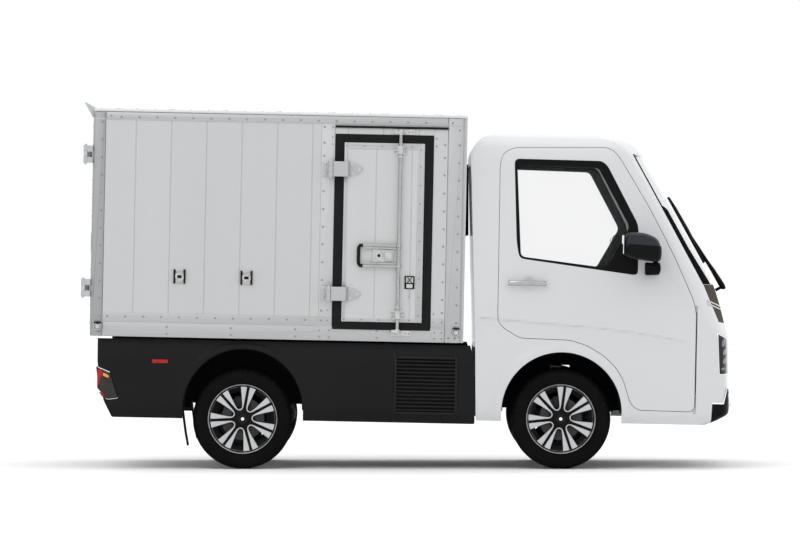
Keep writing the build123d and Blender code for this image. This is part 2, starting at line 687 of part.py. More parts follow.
def make_rear_bumper():
    """Rear cross bumper with a blank plate board and two stays."""
    bar = block(-1772, -1748, -596, 596, 420, 540)
    plate = block(-1777, -1773, -170, 170, 440, 520)
    stays = [block(-1747.5, -1701, sign * 350 - 20, sign * 350 + 20, 440, 495) for sign in (-1, 1)]
    return [bar, plate] + stays


def make_mud_flaps():
    """Rubber flaps behind the rear wheels."""
    flap = prism_y(((-1296, 345), (-1290, 345), (-1254, 108), (-1260, 108)), -712, -548)
    return pair(flap)


# ------------------------------------------------------------------ cargo box
def make_floor():
    """Cargo floor panel on cross bearers."""
    solids = [block(-1750.5, BOX_X1 - WALL - 0.5, -733, 733, 772, 796)]
    return solids


def make_walls():
    """Left wall, right wall in two parts beside the doorway, and front wall."""
    y0, y1 = -753.0, -735.0
    solids = [
        block(-1750, -532, y0, y1, 796.5, 1945),
        block(-531.5, -455, y0, y1, 796.5, 1945),
        block(103, 181, y0, y1, 796.5, 1945),
        block(-454, 102, y0, y1, 1887, 1945),
        block(-1750, 181, -y1, -y0, 796.5, 1945),
        block(BOX_X1 - WALL, BOX_X1, -733, 733, 720, 1985),
    ]
    return solids


def make_roof():
    """White roof cap."""
    return [block(BOX_X0, BOX_X1, -750, 750, 1986, BOX_Z1)]


def make_box_frame():
    """Corner posts, top and bottom rails, rear portal."""
    solids = []
    for sign in (-1, 1):
        outer, inner = sign * BOX_Y, sign * 700.0
        solids.append(block(BOX_X0, -1751, outer, inner, BOX_Z0, 1985))
        solids.append(block(182, BOX_X1 - WALL - 0.5, outer, sign * 735.0, BOX_Z0, 1985))
        solids.append(block(-1750.5, 181.5, outer, sign * 735.0, 1945.5, 1985))
        solids.append(block(-1750.5, 181.5, outer, sign * 735.0, BOX_Z0, 783.5 if sign < 0 else 796))
    solids.append(block(-1750.5, SEAL_X0 - 0.5, -BOX_Y, -735.0, 784, 796))
    solids.append(block(SEAL_X1 + 0.5, 181.5, -BOX_Y, -735.0, 784, 796))
    solids.append(block(BOX_X0, -1751, -699.5, 699.5, 1930, 1985))
    solids.append(block(BOX_X0, -1751, -699.5, 699.5, BOX_Z0, 774))
    return solids


def make_seals():
    """Rubber frame round the side doorway."""
    frame = block(SEAL_X0, SEAL_X1, -759, -735, SEAL_Z0, SEAL_Z1)
    frame -= block(SD_X0 - GAP, SD_X1 + GAP, -770, -700, SD_Z0 - GAP, SD_Z1 + GAP)
    return [frame]


def door_slab(x0, x1, z0, z1):
    """Side door panel: outer skin over a slightly smaller core."""
    skin = block(x0, x1, -SIDE_FACE, -SIDE_FACE + 8, z0, z1)
    core = block(x0 + 8, x1 - 8, -SIDE_FACE + 8, -SIDE_FACE + 40, z0 + 8, z1 - 8)
    return skin + core


def knuckle_split(low, high):
    """Heights of the lower, middle and upper thirds of a hinge barrel."""
    third = (high - low) / 3.0
    return (low, low + third - 0.5), (low + third, high - third), (high - third + 0.5, high)


def make_side_door():
    """Side cargo door with strap hinges, rod bearings, lock housing and catch."""
    door = door_slab(SD_X0, SD_X1, SD_Z0, SD_Z1)
    for low, high in HINGE_BANDS:
        mid = (low + high) / 2
        plan = ((SD_AX + 19, -800), (-378, -800), (-366, -765), (-296, -765), (-296, -757.9))
        plan += ((-372, -757.9), (-384, -793), (SD_AX + 19, -793))
        side = ((-470, low + 2), (-372, low + 2), (-306, mid - 22), (-296, mid), (-306, mid + 22))
        side += ((-372, high - 2), (-470, high - 2))
        strap = prism_z(plan, low, high) & prism_y(side, -820, -740)
        _, centre, _ = knuckle_split(low, high)
        barrel = rod((SD_AX, SD_AY, centre[0]), (SD_AX, SD_AY, centre[1]), 14)
        neck = block(SD_AX, SD_AX + 22, -800, -791, centre[0], centre[1])
        door += strap + barrel + neck
        door -= rod((SD_AX, SD_AY, low - 5), (SD_AX, SD_AY, high + 5), 6 + RUN)
    for z in (870, 1801):
        door += block(ROD_X - 38, ROD_X + 38, -SIDE_FACE, -SIDE_FACE - 7, z - 28, z + 28)
        door += block(ROD_X - 17, ROD_X + 17, -SIDE_FACE, -795, z - 22, z + 22)
    door -= rod((ROD_X, ROD_Y, 700), (ROD_X, ROD_Y, 2000), ROD_R + RUN)
    door += block(-232, -112, -SIDE_FACE, -781, 1164, 1242)
    door += block(-49, 8, -SIDE_FACE, -779, 1018, 1092)
    return [door]


def lock_rod(z0, z1, cams):
    """Lock rod on the Z axis with an end cam at each height."""
    bar = rod((0, 0, z0), (0, 0, z1), ROD_R)
    for z in cams:
        bar += block(-34, 0, -9, 3, z - 8, z + 8)
        bar += rod((0, 0, z - 14), (0, 0, z + 14), 12.5)
    return bar


def lock_handle(z0, z1, reach):
    """Loop handle on the Z axis reaching towards -X, with a thick rubber grip."""
    handle = rod((-reach, 0, z0 + 6), (-reach, 0, z1 - 6), 10)
    for z in (z0, z1 - 14):
        handle += block(-reach, -12, -7, 7, z, z + 14)
        handle += rod((0, 0, z - 3), (0, 0, z + 17), 15.5)
    return handle - rod((0, 0, z0 - 10), (0, 0, z1 + 10), ROD_R + 0.2)


def make_side_rod():
    """Side door lock rod."""
    return [Pos(ROD_X, ROD_Y, 0) * lock_rod(764, 1914, (778, 1900))]


def make_side_handle():
    """Side door lock handle."""
    return [Pos(ROD_X, ROD_Y, 0) * lock_handle(1137, 1268, 226)]


RR_Y = 62.0                                   # rear lock rods, distance from the centre line
RR_X = RD_FACE - 20.0


def make_rear_door():
    """Right rear door with straps, rod bearings and catch plate."""
    door = block(RD_FACE, RD_FACE + 8, -RD_Y1, -RD_Y0, RD_Z0, RD_Z1)
    door += block(RD_FACE + 8, RD_FACE + RD_T, -RD_Y1 + 6, -RD_Y0 - 4, RD_Z0 + 8, RD_Z1 - 8)
    for low, high in REAR_BANDS:
        mid = (low + high) / 2
        _, centre, _ = knuckle_split(low, high)
        plan = ((-1867, -RD_AY), (-1867, -712), (-1831, -690), (-1831, -520), (RD_FACE + 0.1, -520))
        plan += ((RD_FACE + 0.1, -696), (-1859, -716), (-1859, -RD_AY))
        strap = prism_z(plan, centre[0], centre[1])
        leafs = ((-688, low + 4), (-600, low + 4), (-530, mid - 20), (-520, mid), (-530, mid + 20))
        leafs += ((-600, high - 4), (-688, high - 4))
        strap += prism_x(leafs, -1831, RD_FACE)
        strap += rod((RD_AX, -RD_AY, centre[0]), (RD_AX, -RD_AY, centre[1]), 12)
        door += strap
        door -= rod((RD_AX, -RD_AY, low - 5), (RD_AX, -RD_AY, high + 5), 6 + RUN)
    for z in (860, 1820):
        door += block(RD_FACE, RD_FACE - 7, -RR_Y - 36, -RR_Y + 36, z - 28, z + 28)
        door += block(RD_FACE, RR_X - 17, -RR_Y - 17, -RR_Y + 17, z - 22, z + 22)
    door -= rod((RR_X, -RR_Y, 700), (RR_X, -RR_Y, 2000), ROD_R + RUN)
    door += block(RD_FACE, RD_FACE - 20, -RR_Y - 150, -RR_Y - 40, 1210, 1280)
    door += block(RD_FACE, RD_FACE - 14, -246, -196, 1022, 1100)
    return [door]


def make_rear_rod():
    """Right rear door lock rod."""
    turned = Rot(0, 0, 90) * lock_rod(756, 1946, (768, 1932))
    return [Pos(RR_X, -RR_Y, 0) * mirror(turned, about=Plane.YZ)]


def make_rear_handle():
    """Right rear door lock handle, lying along the door towards its hinge."""
    return [Pos(RR_X, -RR_Y, 0) * (Rot(0, 0, 90) * lock_handle(1180, 1311, 190))]


def make_hinge_brackets():
    """Body halves of the cargo door hinges, with their pins."""
    solids = []
    for low, high in HINGE_BANDS:
        lower, _, upper = knuckle_split(low, high)
        bracket = block(-521, -464, -BOX_Y, -BOX_Y - 6, low, high)
        for z0, z1 in (lower, upper):
            bracket += rod((SD_AX, SD_AY, z0), (SD_AX, SD_AY, z1), 14)
            bracket += block(SD_AX - 12, SD_AX + 12, -BOX_Y - 5, -786, z0, z1)
        bracket += rod((SD_AX, SD_AY, low - 4), (SD_AX, SD_AY, high + 4), 6)
        solids.append(bracket)
    for low, high in REAR_BANDS:
        lower, _, upper = knuckle_split(low, high)
        bracket = block(-1826, BOX_X0, -BOX_Y, -715, low, high)
        for z0, z1 in (lower, upper):
            bracket += rod((RD_AX, -RD_AY, z0), (RD_AX, -RD_AY, z1), 12)
            bracket += prism_z(((-1860, -775), (-1822, -775), (-1822, -740), (-1832, -740), (-1860, -760)), z0, z1)
        bracket -= block(-1819.9, -1700, -775, -700, low - 5, high + 5)
        bracket += rod((RD_AX, -RD_AY, low - 4), (RD_AX, -RD_AY, high + 4), 6)
        solids += pair(bracket)
    return solids


def catch(x, z):
    """Wall catch: two side rails with a bridge."""
    part = block(x - 34, x - 24, -753, -766, z - 40, z + 40)
    part += block(x + 24, x + 34, -753, -766, z - 40, z + 40)
    part += block(x - 25, x + 25, -753, -763, z - 12, z + 12)
    return part


def make_keepers():
    """Rod keepers on the frame, wall catches and lashing rings."""
    solids = [block(-124, -6, -BOX_Y + 2, -763, 1889, 1918), block(-124, -6, -BOX_Y, -763, 752, 782)]
    for sign in (-1, 1):
        for z0, z1 in ((1934, 1948), (754, 770)):
            solids.append(block(BOX_X0, BOX_X0 - 9, sign * (RR_Y + 34), sign * (RR_Y - 34), z0, z1))
    solids.append(catch(-941, 1063))
    solids += pair(catch(-1319, 1063))
    for x, z in ((-1776, 772), (248, 777)):
        ring_part = ring((x, -BOX_Y - 2, z), (x, -BOX_Y - 12, z), 25, 17)
        ring_part += block(x - 20, x + 20, -BOX_Y, -BOX_Y - 12, z + 12, z + 26)
        solids += pair(ring_part)
    return solids


def make_visor():
    """Rain visor over the rear doors and a drip rail along the side door."""
    visor = prism_y(((-1821, 1952), (-1826, 1952), (-1874, 2034), (-1869, 2037), (-1821, 1962)), -735, 735)
    for sign in (-1, 1):
        visor += prism_y(((-1821, 1952), (-1826, 1952), (-1874, 2034), (-1869, 2037), (-1821, 2000)), sign * 735, sign * 731)
    drip = prism_x(((-755.2, 1920), (-762, 1920), (-766, 1934), (-760, 1934), (-755.2, 1928)), -455, 182)
    return [visor, drip]


# ------------------------------------------------------------------ wiper
WIPER_T = (-0.498, 0.0, 0.867)               # up along the glass
WIPER_N = (0.867, 0.0, 0.498)                # out of the glass
WIPER_P = (1752.0, 0.0, 1042.0)              # where the spindle leaves the cowl


def wiper_point(up, out, across=0.0):
    """Point in the wiper's own axes."""
    return tuple(p + up * t + out * n + a for p, t, n, a in zip(WIPER_P, WIPER_T, WIPER_N, (0, across, 0)))


def make_wiper():
    """Single wiper: spindle, arm and blade."""
    arm = rod(wiper_point(0, 3), wiper_point(0, 56), 9)
    arm += rod(wiper_point(0, 46), wiper_point(0, 62), 20)
    arm += rod(wiper_point(0, 52), wiper_point(150, 46), 9)
    arm += rod(wiper_point(150, 46), wiper_point(390, 25), 6)
    blade = rod(wiper_point(170, 21), wiper_point(605, 21), 6)
    return [arm + blade]


# ------------------------------------------------------------------ write everything
emit("chassis_frame", make_chassis())
emit("battery_pack", make_battery())
emit("leaf_springs", make_leaf_springs())
emit("shock_absorbers", make_shocks())
emit("rear_axle", make_rear_axle())
emit("front_suspension", make_front_suspension(), raked=False)
emit("side_skirts", make_skirts())
emit("vent_grilles", make_vents())
emit("rear_bumper", make_rear_bumper())
emit("rear_lamps", make_rear_lamps())
emit("headlights", make_headlights())
emit("wheel_liners", make_liners())
emit("mud_flaps", make_mud_flaps())
emit("cab_shell", make_cab_shell())
emit("cab_glass", make_cab_glass())
emit("front_panel", make_front_panel())
emit("bumper_grille", make_bumper())
emit("dashboard", make_dashboard())
emit("cab_seats", make_seats())
emit("steering_gear", make_steering_gear())
emit("box_floor", make_floor())
emit("box_walls", make_walls())
emit("box_roof", make_roof())
emit("box_frame", make_box_frame())
emit("door_seals", make_seals())
emit("hinge_brackets", make_hinge_brackets())
emit("door_keepers", make_keepers())
emit("rain_visor", make_visor())
emit("side_door", make_side_door())
emit("side_lock_rod", make_side_rod())
emit("side_lock_handle", make_side_handle())
emit("wiper", make_wiper())
emit("steering_wheel", make_steering_wheel())
emit("steering_rack", make_rack(), raked=False)
CAB_DOOR = make_cab_door()
for side, side_of in (("right", lambda part: part), ("left", other_side)):
    emit(f"rear_door_{side}", [side_of(part) for part in make_rear_door()])
    emit(f"rear_rod_{side}", [side_of(part) for part in make_rear_rod()])
    emit(f"rear_handle_{side}", [side_of(part) for part in make_rear_handle()])
    emit(f"cab_door_{side}", [side_of(CAB_DOOR)])
    emit(f"door_trim_{side}", [side_of(part) for part in make_door_trim()])
    emit(f"window_{side}", [side_of(make_pane())])
    emit(f"cab_handle_{side}", [side_of(make_cab_handle())])
    emit(f"mirror_{side}", [side_of(make_mirror())])
    emit(f"knuckle_{side}", [side_of(make_knuckle())], raked=False)
    for end, x in (("front", X_FRONT), ("rear", X_REAR)):
        emit(f"tyre_{end}_{side}", [side_of(make_tyre(x))], raked=False)
        emit(f"rim_{end}_{side}", [side_of(make_rim(x))], raked=False)
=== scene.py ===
"""Looks of the small electric mail delivery truck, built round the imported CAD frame.

Pieces are drawn in the level body frame in millimetres (+X forward, +Y left, +Z up) and are
then pitched nose-down by PITCH about the Y axis, as the CAD is.  Wheels are drawn upright.
Without a side in its comment, a form is drawn on the right and mirrored where it is needed.
"""
import math
import bmesh
import bpy
from mathutils import Matrix, Vector


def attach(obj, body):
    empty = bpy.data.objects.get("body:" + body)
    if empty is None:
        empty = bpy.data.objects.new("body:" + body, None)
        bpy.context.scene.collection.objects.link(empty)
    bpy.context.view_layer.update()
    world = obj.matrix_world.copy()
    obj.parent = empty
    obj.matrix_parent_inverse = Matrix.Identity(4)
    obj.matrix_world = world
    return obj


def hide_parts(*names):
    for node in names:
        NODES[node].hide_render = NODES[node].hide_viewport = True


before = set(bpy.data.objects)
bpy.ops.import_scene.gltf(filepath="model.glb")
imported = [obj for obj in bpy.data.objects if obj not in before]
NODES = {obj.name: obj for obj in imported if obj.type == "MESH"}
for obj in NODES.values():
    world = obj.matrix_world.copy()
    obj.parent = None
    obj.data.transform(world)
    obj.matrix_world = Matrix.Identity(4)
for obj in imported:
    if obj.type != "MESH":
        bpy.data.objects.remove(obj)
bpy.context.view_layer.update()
MM = 0.001
PITCH = Matrix.Rotation(math.radians(1.15), 4, "Y")
X_FRONT, X_REAR = 856.5, -943.5             # axles
TYRE_R, WHEEL_Y = 283.0, 627.5              # tyre radius, middle plane of a wheel
SIDES = (("right", False), ("left", True))  # name of a side, and whether it is mirrored


# ------------------------------------------------------------------ materials
def node(tree, kind, **values):
    made = tree.nodes.new(kind)
    for key, value in values.items():
        setattr(made, key, value)
    return made


def noise(tree, vector, scale, detail=3.0, rough=0.55):
    made = node(tree, "ShaderNodeTexNoise")
    made.inputs["Scale"].default_value = scale
    made.inputs["Detail"].default_value = detail
    made.inputs["Roughness"].default_value = rough
    tree.links.new(vector, made.inputs["Vector"])
    return made.outputs["Fac"]


def ramp(tree, fac, low, high, out_low=0.0, out_high=1.0):
    made = node(tree, "ShaderNodeMapRange")
    for key, value in zip(("From Min", "From Max", "To Min", "To Max"), (low, high, out_low, out_high)):
        made.inputs[key].default_value = value
    tree.links.new(fac, made.inputs["Value"])
    return made.outputs["Result"]


def blend_colour(tree, fac, a, b):
    made = node(tree, "ShaderNodeMix", data_type="RGBA")
    tree.links.new(fac, made.inputs[0])
    for socket, value in ((made.inputs[6], a), (made.inputs[7], b)):
        if isinstance(value, (tuple, list)):
            socket.default_value = (*value[:3], 1.0)
        else:
            tree.links.new(value, socket)
    return made.outputs[2]


BUMP_DEPTH = 0.0006                                 # metres, of the grain in every surface


def surface(name, colour, rough=0.5, metal=0.0, coat=0.0, spread=0.05, patch=2.5, grain=600.0, bump=0.1,
        stretch=(1, 1, 1), vary=0.06, alpha=1.0, dust=0.0, kind="noise", centre=(0, 0, 0),
        ior=1.5):
    """A principled material with patchy colour, uneven gloss, surface grain and a little dust low down."""
    m = bpy.data.materials.new(name)
    m.use_nodes = True
    tree = m.node_tree
    tree.nodes.clear()
    link = tree.links.new
    out = node(tree, "ShaderNodeOutputMaterial")
    b = node(tree, "ShaderNodeBsdfPrincipled")
    link(b.outputs[0], out.inputs[0])
    where = node(tree, "ShaderNodeTexCoord").outputs["Object"]
    mapped = node(tree, "ShaderNodeMapping")
    mapped.inputs["Location"].default_value = [-c for c in centre]
    mapped.inputs["Scale"].default_value = stretch
    link(where, mapped.inputs["Vector"])
    vec = mapped.outputs["Vector"]
    big = noise(tree, vec, patch, 4.0)
    fine = noise(tree, vec, grain, 2.0, 0.6)
    tint = ramp(tree, big, 0.3, 0.7)
    base = blend_colour(tree, tint, [c * (1 - spread) for c in colour],
        [min(1, c * (1 + spread)) for c in colour])
    if kind == "weave":
        waves = []
        for axis in ("X", "Z"):
            wave = node(tree, "ShaderNodeTexWave", wave_type="BANDS", bands_direction=axis)
            wave.inputs["Scale"].default_value = grain
            wave.inputs["Distortion"].default_value = 1.2
            link(vec, wave.inputs["Vector"])
            waves.append(wave.outputs["Fac"])
        both = node(tree, "ShaderNodeMath", operation="MULTIPLY")
        link(waves[0], both.inputs[0])
        link(waves[1], both.inputs[1])
        fine = both.outputs[0]
        base = blend_colour(tree, fine, base, [min(1, c * 1.9 + 0.02) for c in colour])
    if kind == "rings":
        wave = node(tree, "ShaderNodeTexWave", wave_type="RINGS", rings_direction="Y")
        wave.inputs["Scale"].default_value = grain
        wave.inputs["Distortion"].default_value = 0.6
        link(vec, wave.inputs["Vector"])
        fine = wave.outputs["Fac"]
    if kind == "wood":
        wave = node(tree, "ShaderNodeTexWave", wave_type="BANDS", bands_direction="Y")
        wave.inputs["Scale"].default_value = 9.0
        wave.inputs["Distortion"].default_value = 7.0
        wave.inputs["Detail"].default_value = 4.0
        link(vec, wave.inputs["Vector"])
        base = blend_colour(tree, wave.outputs["Fac"], base, [c * 0.62 for c in colour])
    if dust:
        split = node(tree, "ShaderNodeSeparateXYZ")
        link(where, split.inputs[0])
        low = ramp(tree, split.outputs["Z"], 0.9, 0.1, 0.0, dust)
        veil = node(tree, "ShaderNodeMath", operation="MULTIPLY")
        link(low, veil.inputs[0])
        link(ramp(tree, noise(tree, where, 22.0, 6.0, 0.7), 0.4, 0.75), veil.inputs[1])
        base = blend_colour(tree, veil.outputs[0], base, (0.32, 0.3, 0.27))
    link(base, b.inputs["Base Color"])
    link(ramp(tree, noise(tree, vec, patch * 6.0, 5.0), 0.25, 0.75, max(0.02, rough - vary),
        min(1, rough + vary)), b.inputs["Roughness"])
    if bump:
        raised = node(tree, "ShaderNodeBump")
        raised.inputs["Strength"].default_value = bump
        raised.inputs["Distance"].default_value = BUMP_DEPTH
        link(fine, raised.inputs["Height"])
        link(raised.outputs[0], b.inputs["Normal"])
    b.inputs["Metallic"].default_value = metal
    b.inputs["Coat Weight"].default_value = coat
    b.inputs["Coat Roughness"].default_value = 0.04
    b.inputs["Alpha"].default_value = alpha
    b.inputs["IOR"].default_value = ior
    if kind == "weave":
        b.inputs["Sheen Weight"].default_value = 0.35
    return m


BRUSH_Z = (1.0, 1.0, 0.03)
BRUSH_X = (0.03, 1.0, 1.0)
M = {
    "white": surface("white_paint", (0.545, 0.552, 0.565), 0.24, coat=0.4, spread=0.006, patch=1.2, grain=60,
        bump=0.008, vary=0.02),
    "roof": surface("roof_white", (0.60, 0.60, 0.60), 0.4, spread=0.03, bump=0.12, grain=300),
    "panel": surface("panel_grey", (0.47, 0.475, 0.48), 0.42, 0.15, spread=0.035, patch=1.3, grain=500,
        bump=0.1, stretch=BRUSH_Z, dust=0.05),
    "door": surface("door_panel", (0.50, 0.505, 0.51), 0.4, 0.15, spread=0.03, patch=1.6, grain=500, bump=0.1,
        stretch=BRUSH_Z),
    "alloy": surface("frame_alloy", (0.415, 0.42, 0.425), 0.4, 0.35, spread=0.05, patch=4, grain=420,
        bump=0.14, stretch=BRUSH_X, dust=0.06),
    "post": surface("post_alloy", (0.31, 0.315, 0.32), 0.42, 0.3, spread=0.06, patch=4, grain=420, bump=0.14,
        stretch=BRUSH_Z),
    "zinc": surface("hinge_steel", (0.50, 0.50, 0.495), 0.36, 0.6, spread=0.12, patch=30, grain=260,
        bump=0.16),
    "bright": surface("rod_steel", (0.40, 0.40, 0.40), 0.24, 0.95, spread=0.10, patch=18, grain=500,
        bump=0.08),
    # rivet and bolt heads darker than the panels round them: partly darker metal, partly painted shade for
    # the shadow each head casts
    "rivet": surface("rivet_metal_and_shade", (0.27, 0.27, 0.27), 0.34, 0.7, spread=0.10, patch=40, grain=300,
        bump=0.1),
    "chrome": surface("chrome_trim", (0.84, 0.85, 0.86), 0.1, 1.0, spread=0.02, grain=300, bump=0.01,
        vary=0.03),
    "charcoal": surface("charcoal_plastic", (0.0065, 0.006, 0.0070), 0.45, spread=0.12, grain=700, bump=0.2,
        ior=1.22),
    "grille": surface("grille_plastic", (0.009, 0.009, 0.0095), 0.5, spread=0.10, grain=700, bump=0.2,
        ior=1.25),
    "bumper": surface("bumper_steel", (0.006, 0.006, 0.0065), 0.5, spread=0.08, grain=500, bump=0.12,
        ior=1.12),
    "liner": surface("liner_plastic", (0.004, 0.004, 0.004), 0.85, spread=0.15, grain=200, bump=0.4,
        ior=1.15),
    "flap": surface("flap_rubber", (0.007, 0.007, 0.007), 0.7, spread=0.15, grain=260, bump=0.3, ior=1.2),
    "seal": surface("seal_rubber", (0.006, 0.006, 0.0065), 0.5, spread=0.15, grain=500, bump=0.15, ior=1.22),
    "trim": surface("trim_black", (0.005, 0.005, 0.0055), 0.45, spread=0.10, grain=800, bump=0.05, ior=1.15),
    "frit": surface("glass_border", (0.004, 0.004, 0.004), 0.75, spread=0.2, grain=300, bump=0.02, ior=1.03),
    "mirror": surface("mirror_plastic", (0.020, 0.021, 0.026), 0.42, spread=0.10, grain=700, bump=0.10,
        ior=1.28),
    "bronze": surface("bronze_plastic", (0.050, 0.041, 0.034), 0.6, spread=0.10, grain=600, bump=0.05,
        ior=1.08),
    "dark": surface("dark_plastic", (0.014, 0.014, 0.0155), 0.55, spread=0.10, grain=500, bump=0.25,
        ior=1.25),
    "dash": surface("dash_plastic", (0.022, 0.022, 0.025), 0.6, spread=0.08, grain=240, bump=0.4, ior=1.25),
    "tyre": surface("tyre_rubber", (0.0042, 0.0042, 0.0044), 0.75, spread=0.18, patch=9, grain=420, bump=0.3,
        ior=1.13),
    "wheel_dark": surface("rim_black", (0.0045, 0.0045, 0.005), 0.4, spread=0.10, grain=600, bump=0.04,
        ior=1.18),
    "barrel": surface("rim_barrel", (0.020, 0.020, 0.021), 0.5, 0.5, spread=0.15, grain=300, bump=0.2,
        ior=1.25),
    "glass": surface("clear_glass", (0.30, 0.33, 0.33), 0.03, spread=0.02, vary=0.01, bump=0.0, alpha=0.035),
    "shield": surface("windshield_glass", (0.55, 0.60, 0.62), 0.03, spread=0.02, vary=0.01, bump=0.0,
        alpha=0.10),
    "lens": surface("lamp_lens", (0.85, 0.87, 0.9), 0.04, spread=0.02, vary=0.02, bump=0.02, alpha=0.22,
        grain=120),
    "mirror_glass": surface("mirror_glass", (0.8, 0.82, 0.84), 0.03, 1.0, spread=0.02, vary=0.01, bump=0.0),
    "smoke": surface("smoked_lens", (0.016, 0.013, 0.012), 0.10, spread=0.3, patch=14, grain=220, bump=0.08,
        ior=1.38),
    # lighter blue-grey for the oval spots laid on the headlight lens: painted highlights where the projector
    # units behind the lens catch light
    "projector": surface("projector_lens_highlight", (0.22, 0.23, 0.27), 0.15, 0.5, spread=0.5, patch=60, grain=200,
        bump=0.3),
    "red": surface("lamp_red", (0.30, 0.008, 0.010), 0.22, spread=0.2, patch=60, grain=160, bump=0.2,
        ior=1.35),
    "amber": surface("lamp_amber", (0.75, 0.24, 0.02), 0.16, coat=0.6, spread=0.12, patch=60, grain=160,
        bump=0.3),
    "frame": surface("frame_black", (0.008, 0.008, 0.0085), 0.5, spread=0.15, patch=6, grain=300, bump=0.2,
        dust=0.05, ior=1.2),
    "battery": surface("battery_case", (0.04, 0.04, 0.044), 0.62, spread=0.1, grain=300, bump=0.3, dust=0.1),
    "spring": surface("spring_steel", (0.03, 0.03, 0.03), 0.55, 0.3, spread=0.2, grain=200, bump=0.3,
        dust=0.15),
    "iron": surface("cast_iron", (0.055, 0.055, 0.058), 0.7, 0.6, spread=0.2, patch=20, grain=160, bump=0.6,
        dust=0.1),
    "seat": surface("seat_fabric", (0.05, 0.05, 0.056), 0.85, spread=0.1, grain=160, bump=0.5, kind="weave"),
    "ply": surface("floor_ply", (0.36, 0.25, 0.155), 0.55, spread=0.12, grain=300, bump=0.2, kind="wood"),
    "grip": surface("wheel_grip", (0.020, 0.020, 0.021), 0.5, spread=0.1, grain=420, bump=0.5),
}
for end, x in (("front", X_FRONT), ("rear", X_REAR)):
    M["cut_" + end] = surface("rim_machined_" + end, (0.50, 0.505, 0.515), 0.30, 0.75, spread=0.04, patch=8,
        grain=160, bump=0.12, kind="rings", centre=(x * MM, 0, TYRE_R * MM))


# ------------------------------------------------------------------ mesh kit
def smooth(t):
    t = max(0.0, min(1.0, t))
    return t * t * (3 - 2 * t)


def area(points):
    pairs = zip(points, points[1:] + points[:1])
    return 0.5 * sum(a[0] * b[1] - b[0] * a[1] for a, b in pairs)


def fillet(points, radius, steps=4):
    """Outline with each corner rounded."""
    made = []
    for index, corner in enumerate(points):
        p = Vector(corner)
        before = Vector(points[index - 1]) - p
        after = Vector(points[(index + 1) % len(points)]) - p
        reach = min(radius, before.length * 0.48, after.length * 0.48)
        a, b = p + before.normalized() * reach, p + after.normalized() * reach
        for k in range(steps + 1):
            t = k / steps
            q = a * (1 - t) ** 2 + p * 2 * t * (1 - t) + b * t * t
            made.append((q.x, q.y))
    return made


def rect(u0, u1, v0, v1):
    return [(u0, v0), (u1, v0), (u1, v1), (u0, v1)]


def round_points(cu, cv, radius, count, start=0.0):
    """Points round a circle, as angles evenly spaced from a start."""
    turns = [start + 2 * math.pi * k / count for k in range(count)]
    return [(cu + radius * math.cos(a), cv + radius * math.sin(a)) for a in turns]


def grow(points, amount):
    """Outline moved outwards by an amount (inwards if negative)."""
    sign = 1 if area(points) > 0 else -1
    made = []
    for index, p in enumerate(points):
        a, b = points[index - 1], points[(index + 1) % len(points)]
        n1 = Vector((p[1] - a[1], a[0] - p[0]))
        n2 = Vector((b[1] - p[1], p[0] - b[0]))
        if n1.length < 1e-6 or n2.length < 1e-6:
            n1 = n2 = n1 + n2
        n1.normalize()
        n2.normalize()
        n = n1 + n2
        n = n / max(0.35, n.length_squared / 2)
        made.append((p[0] + n.x * amount * sign, p[1] + n.y * amount * sign))
    return made


AXES = {"x": lambda u, v, w: (w, u, v), "y": lambda u, v, w: (u, w, v), "z": lambda u, v, w: (u, v, w)}


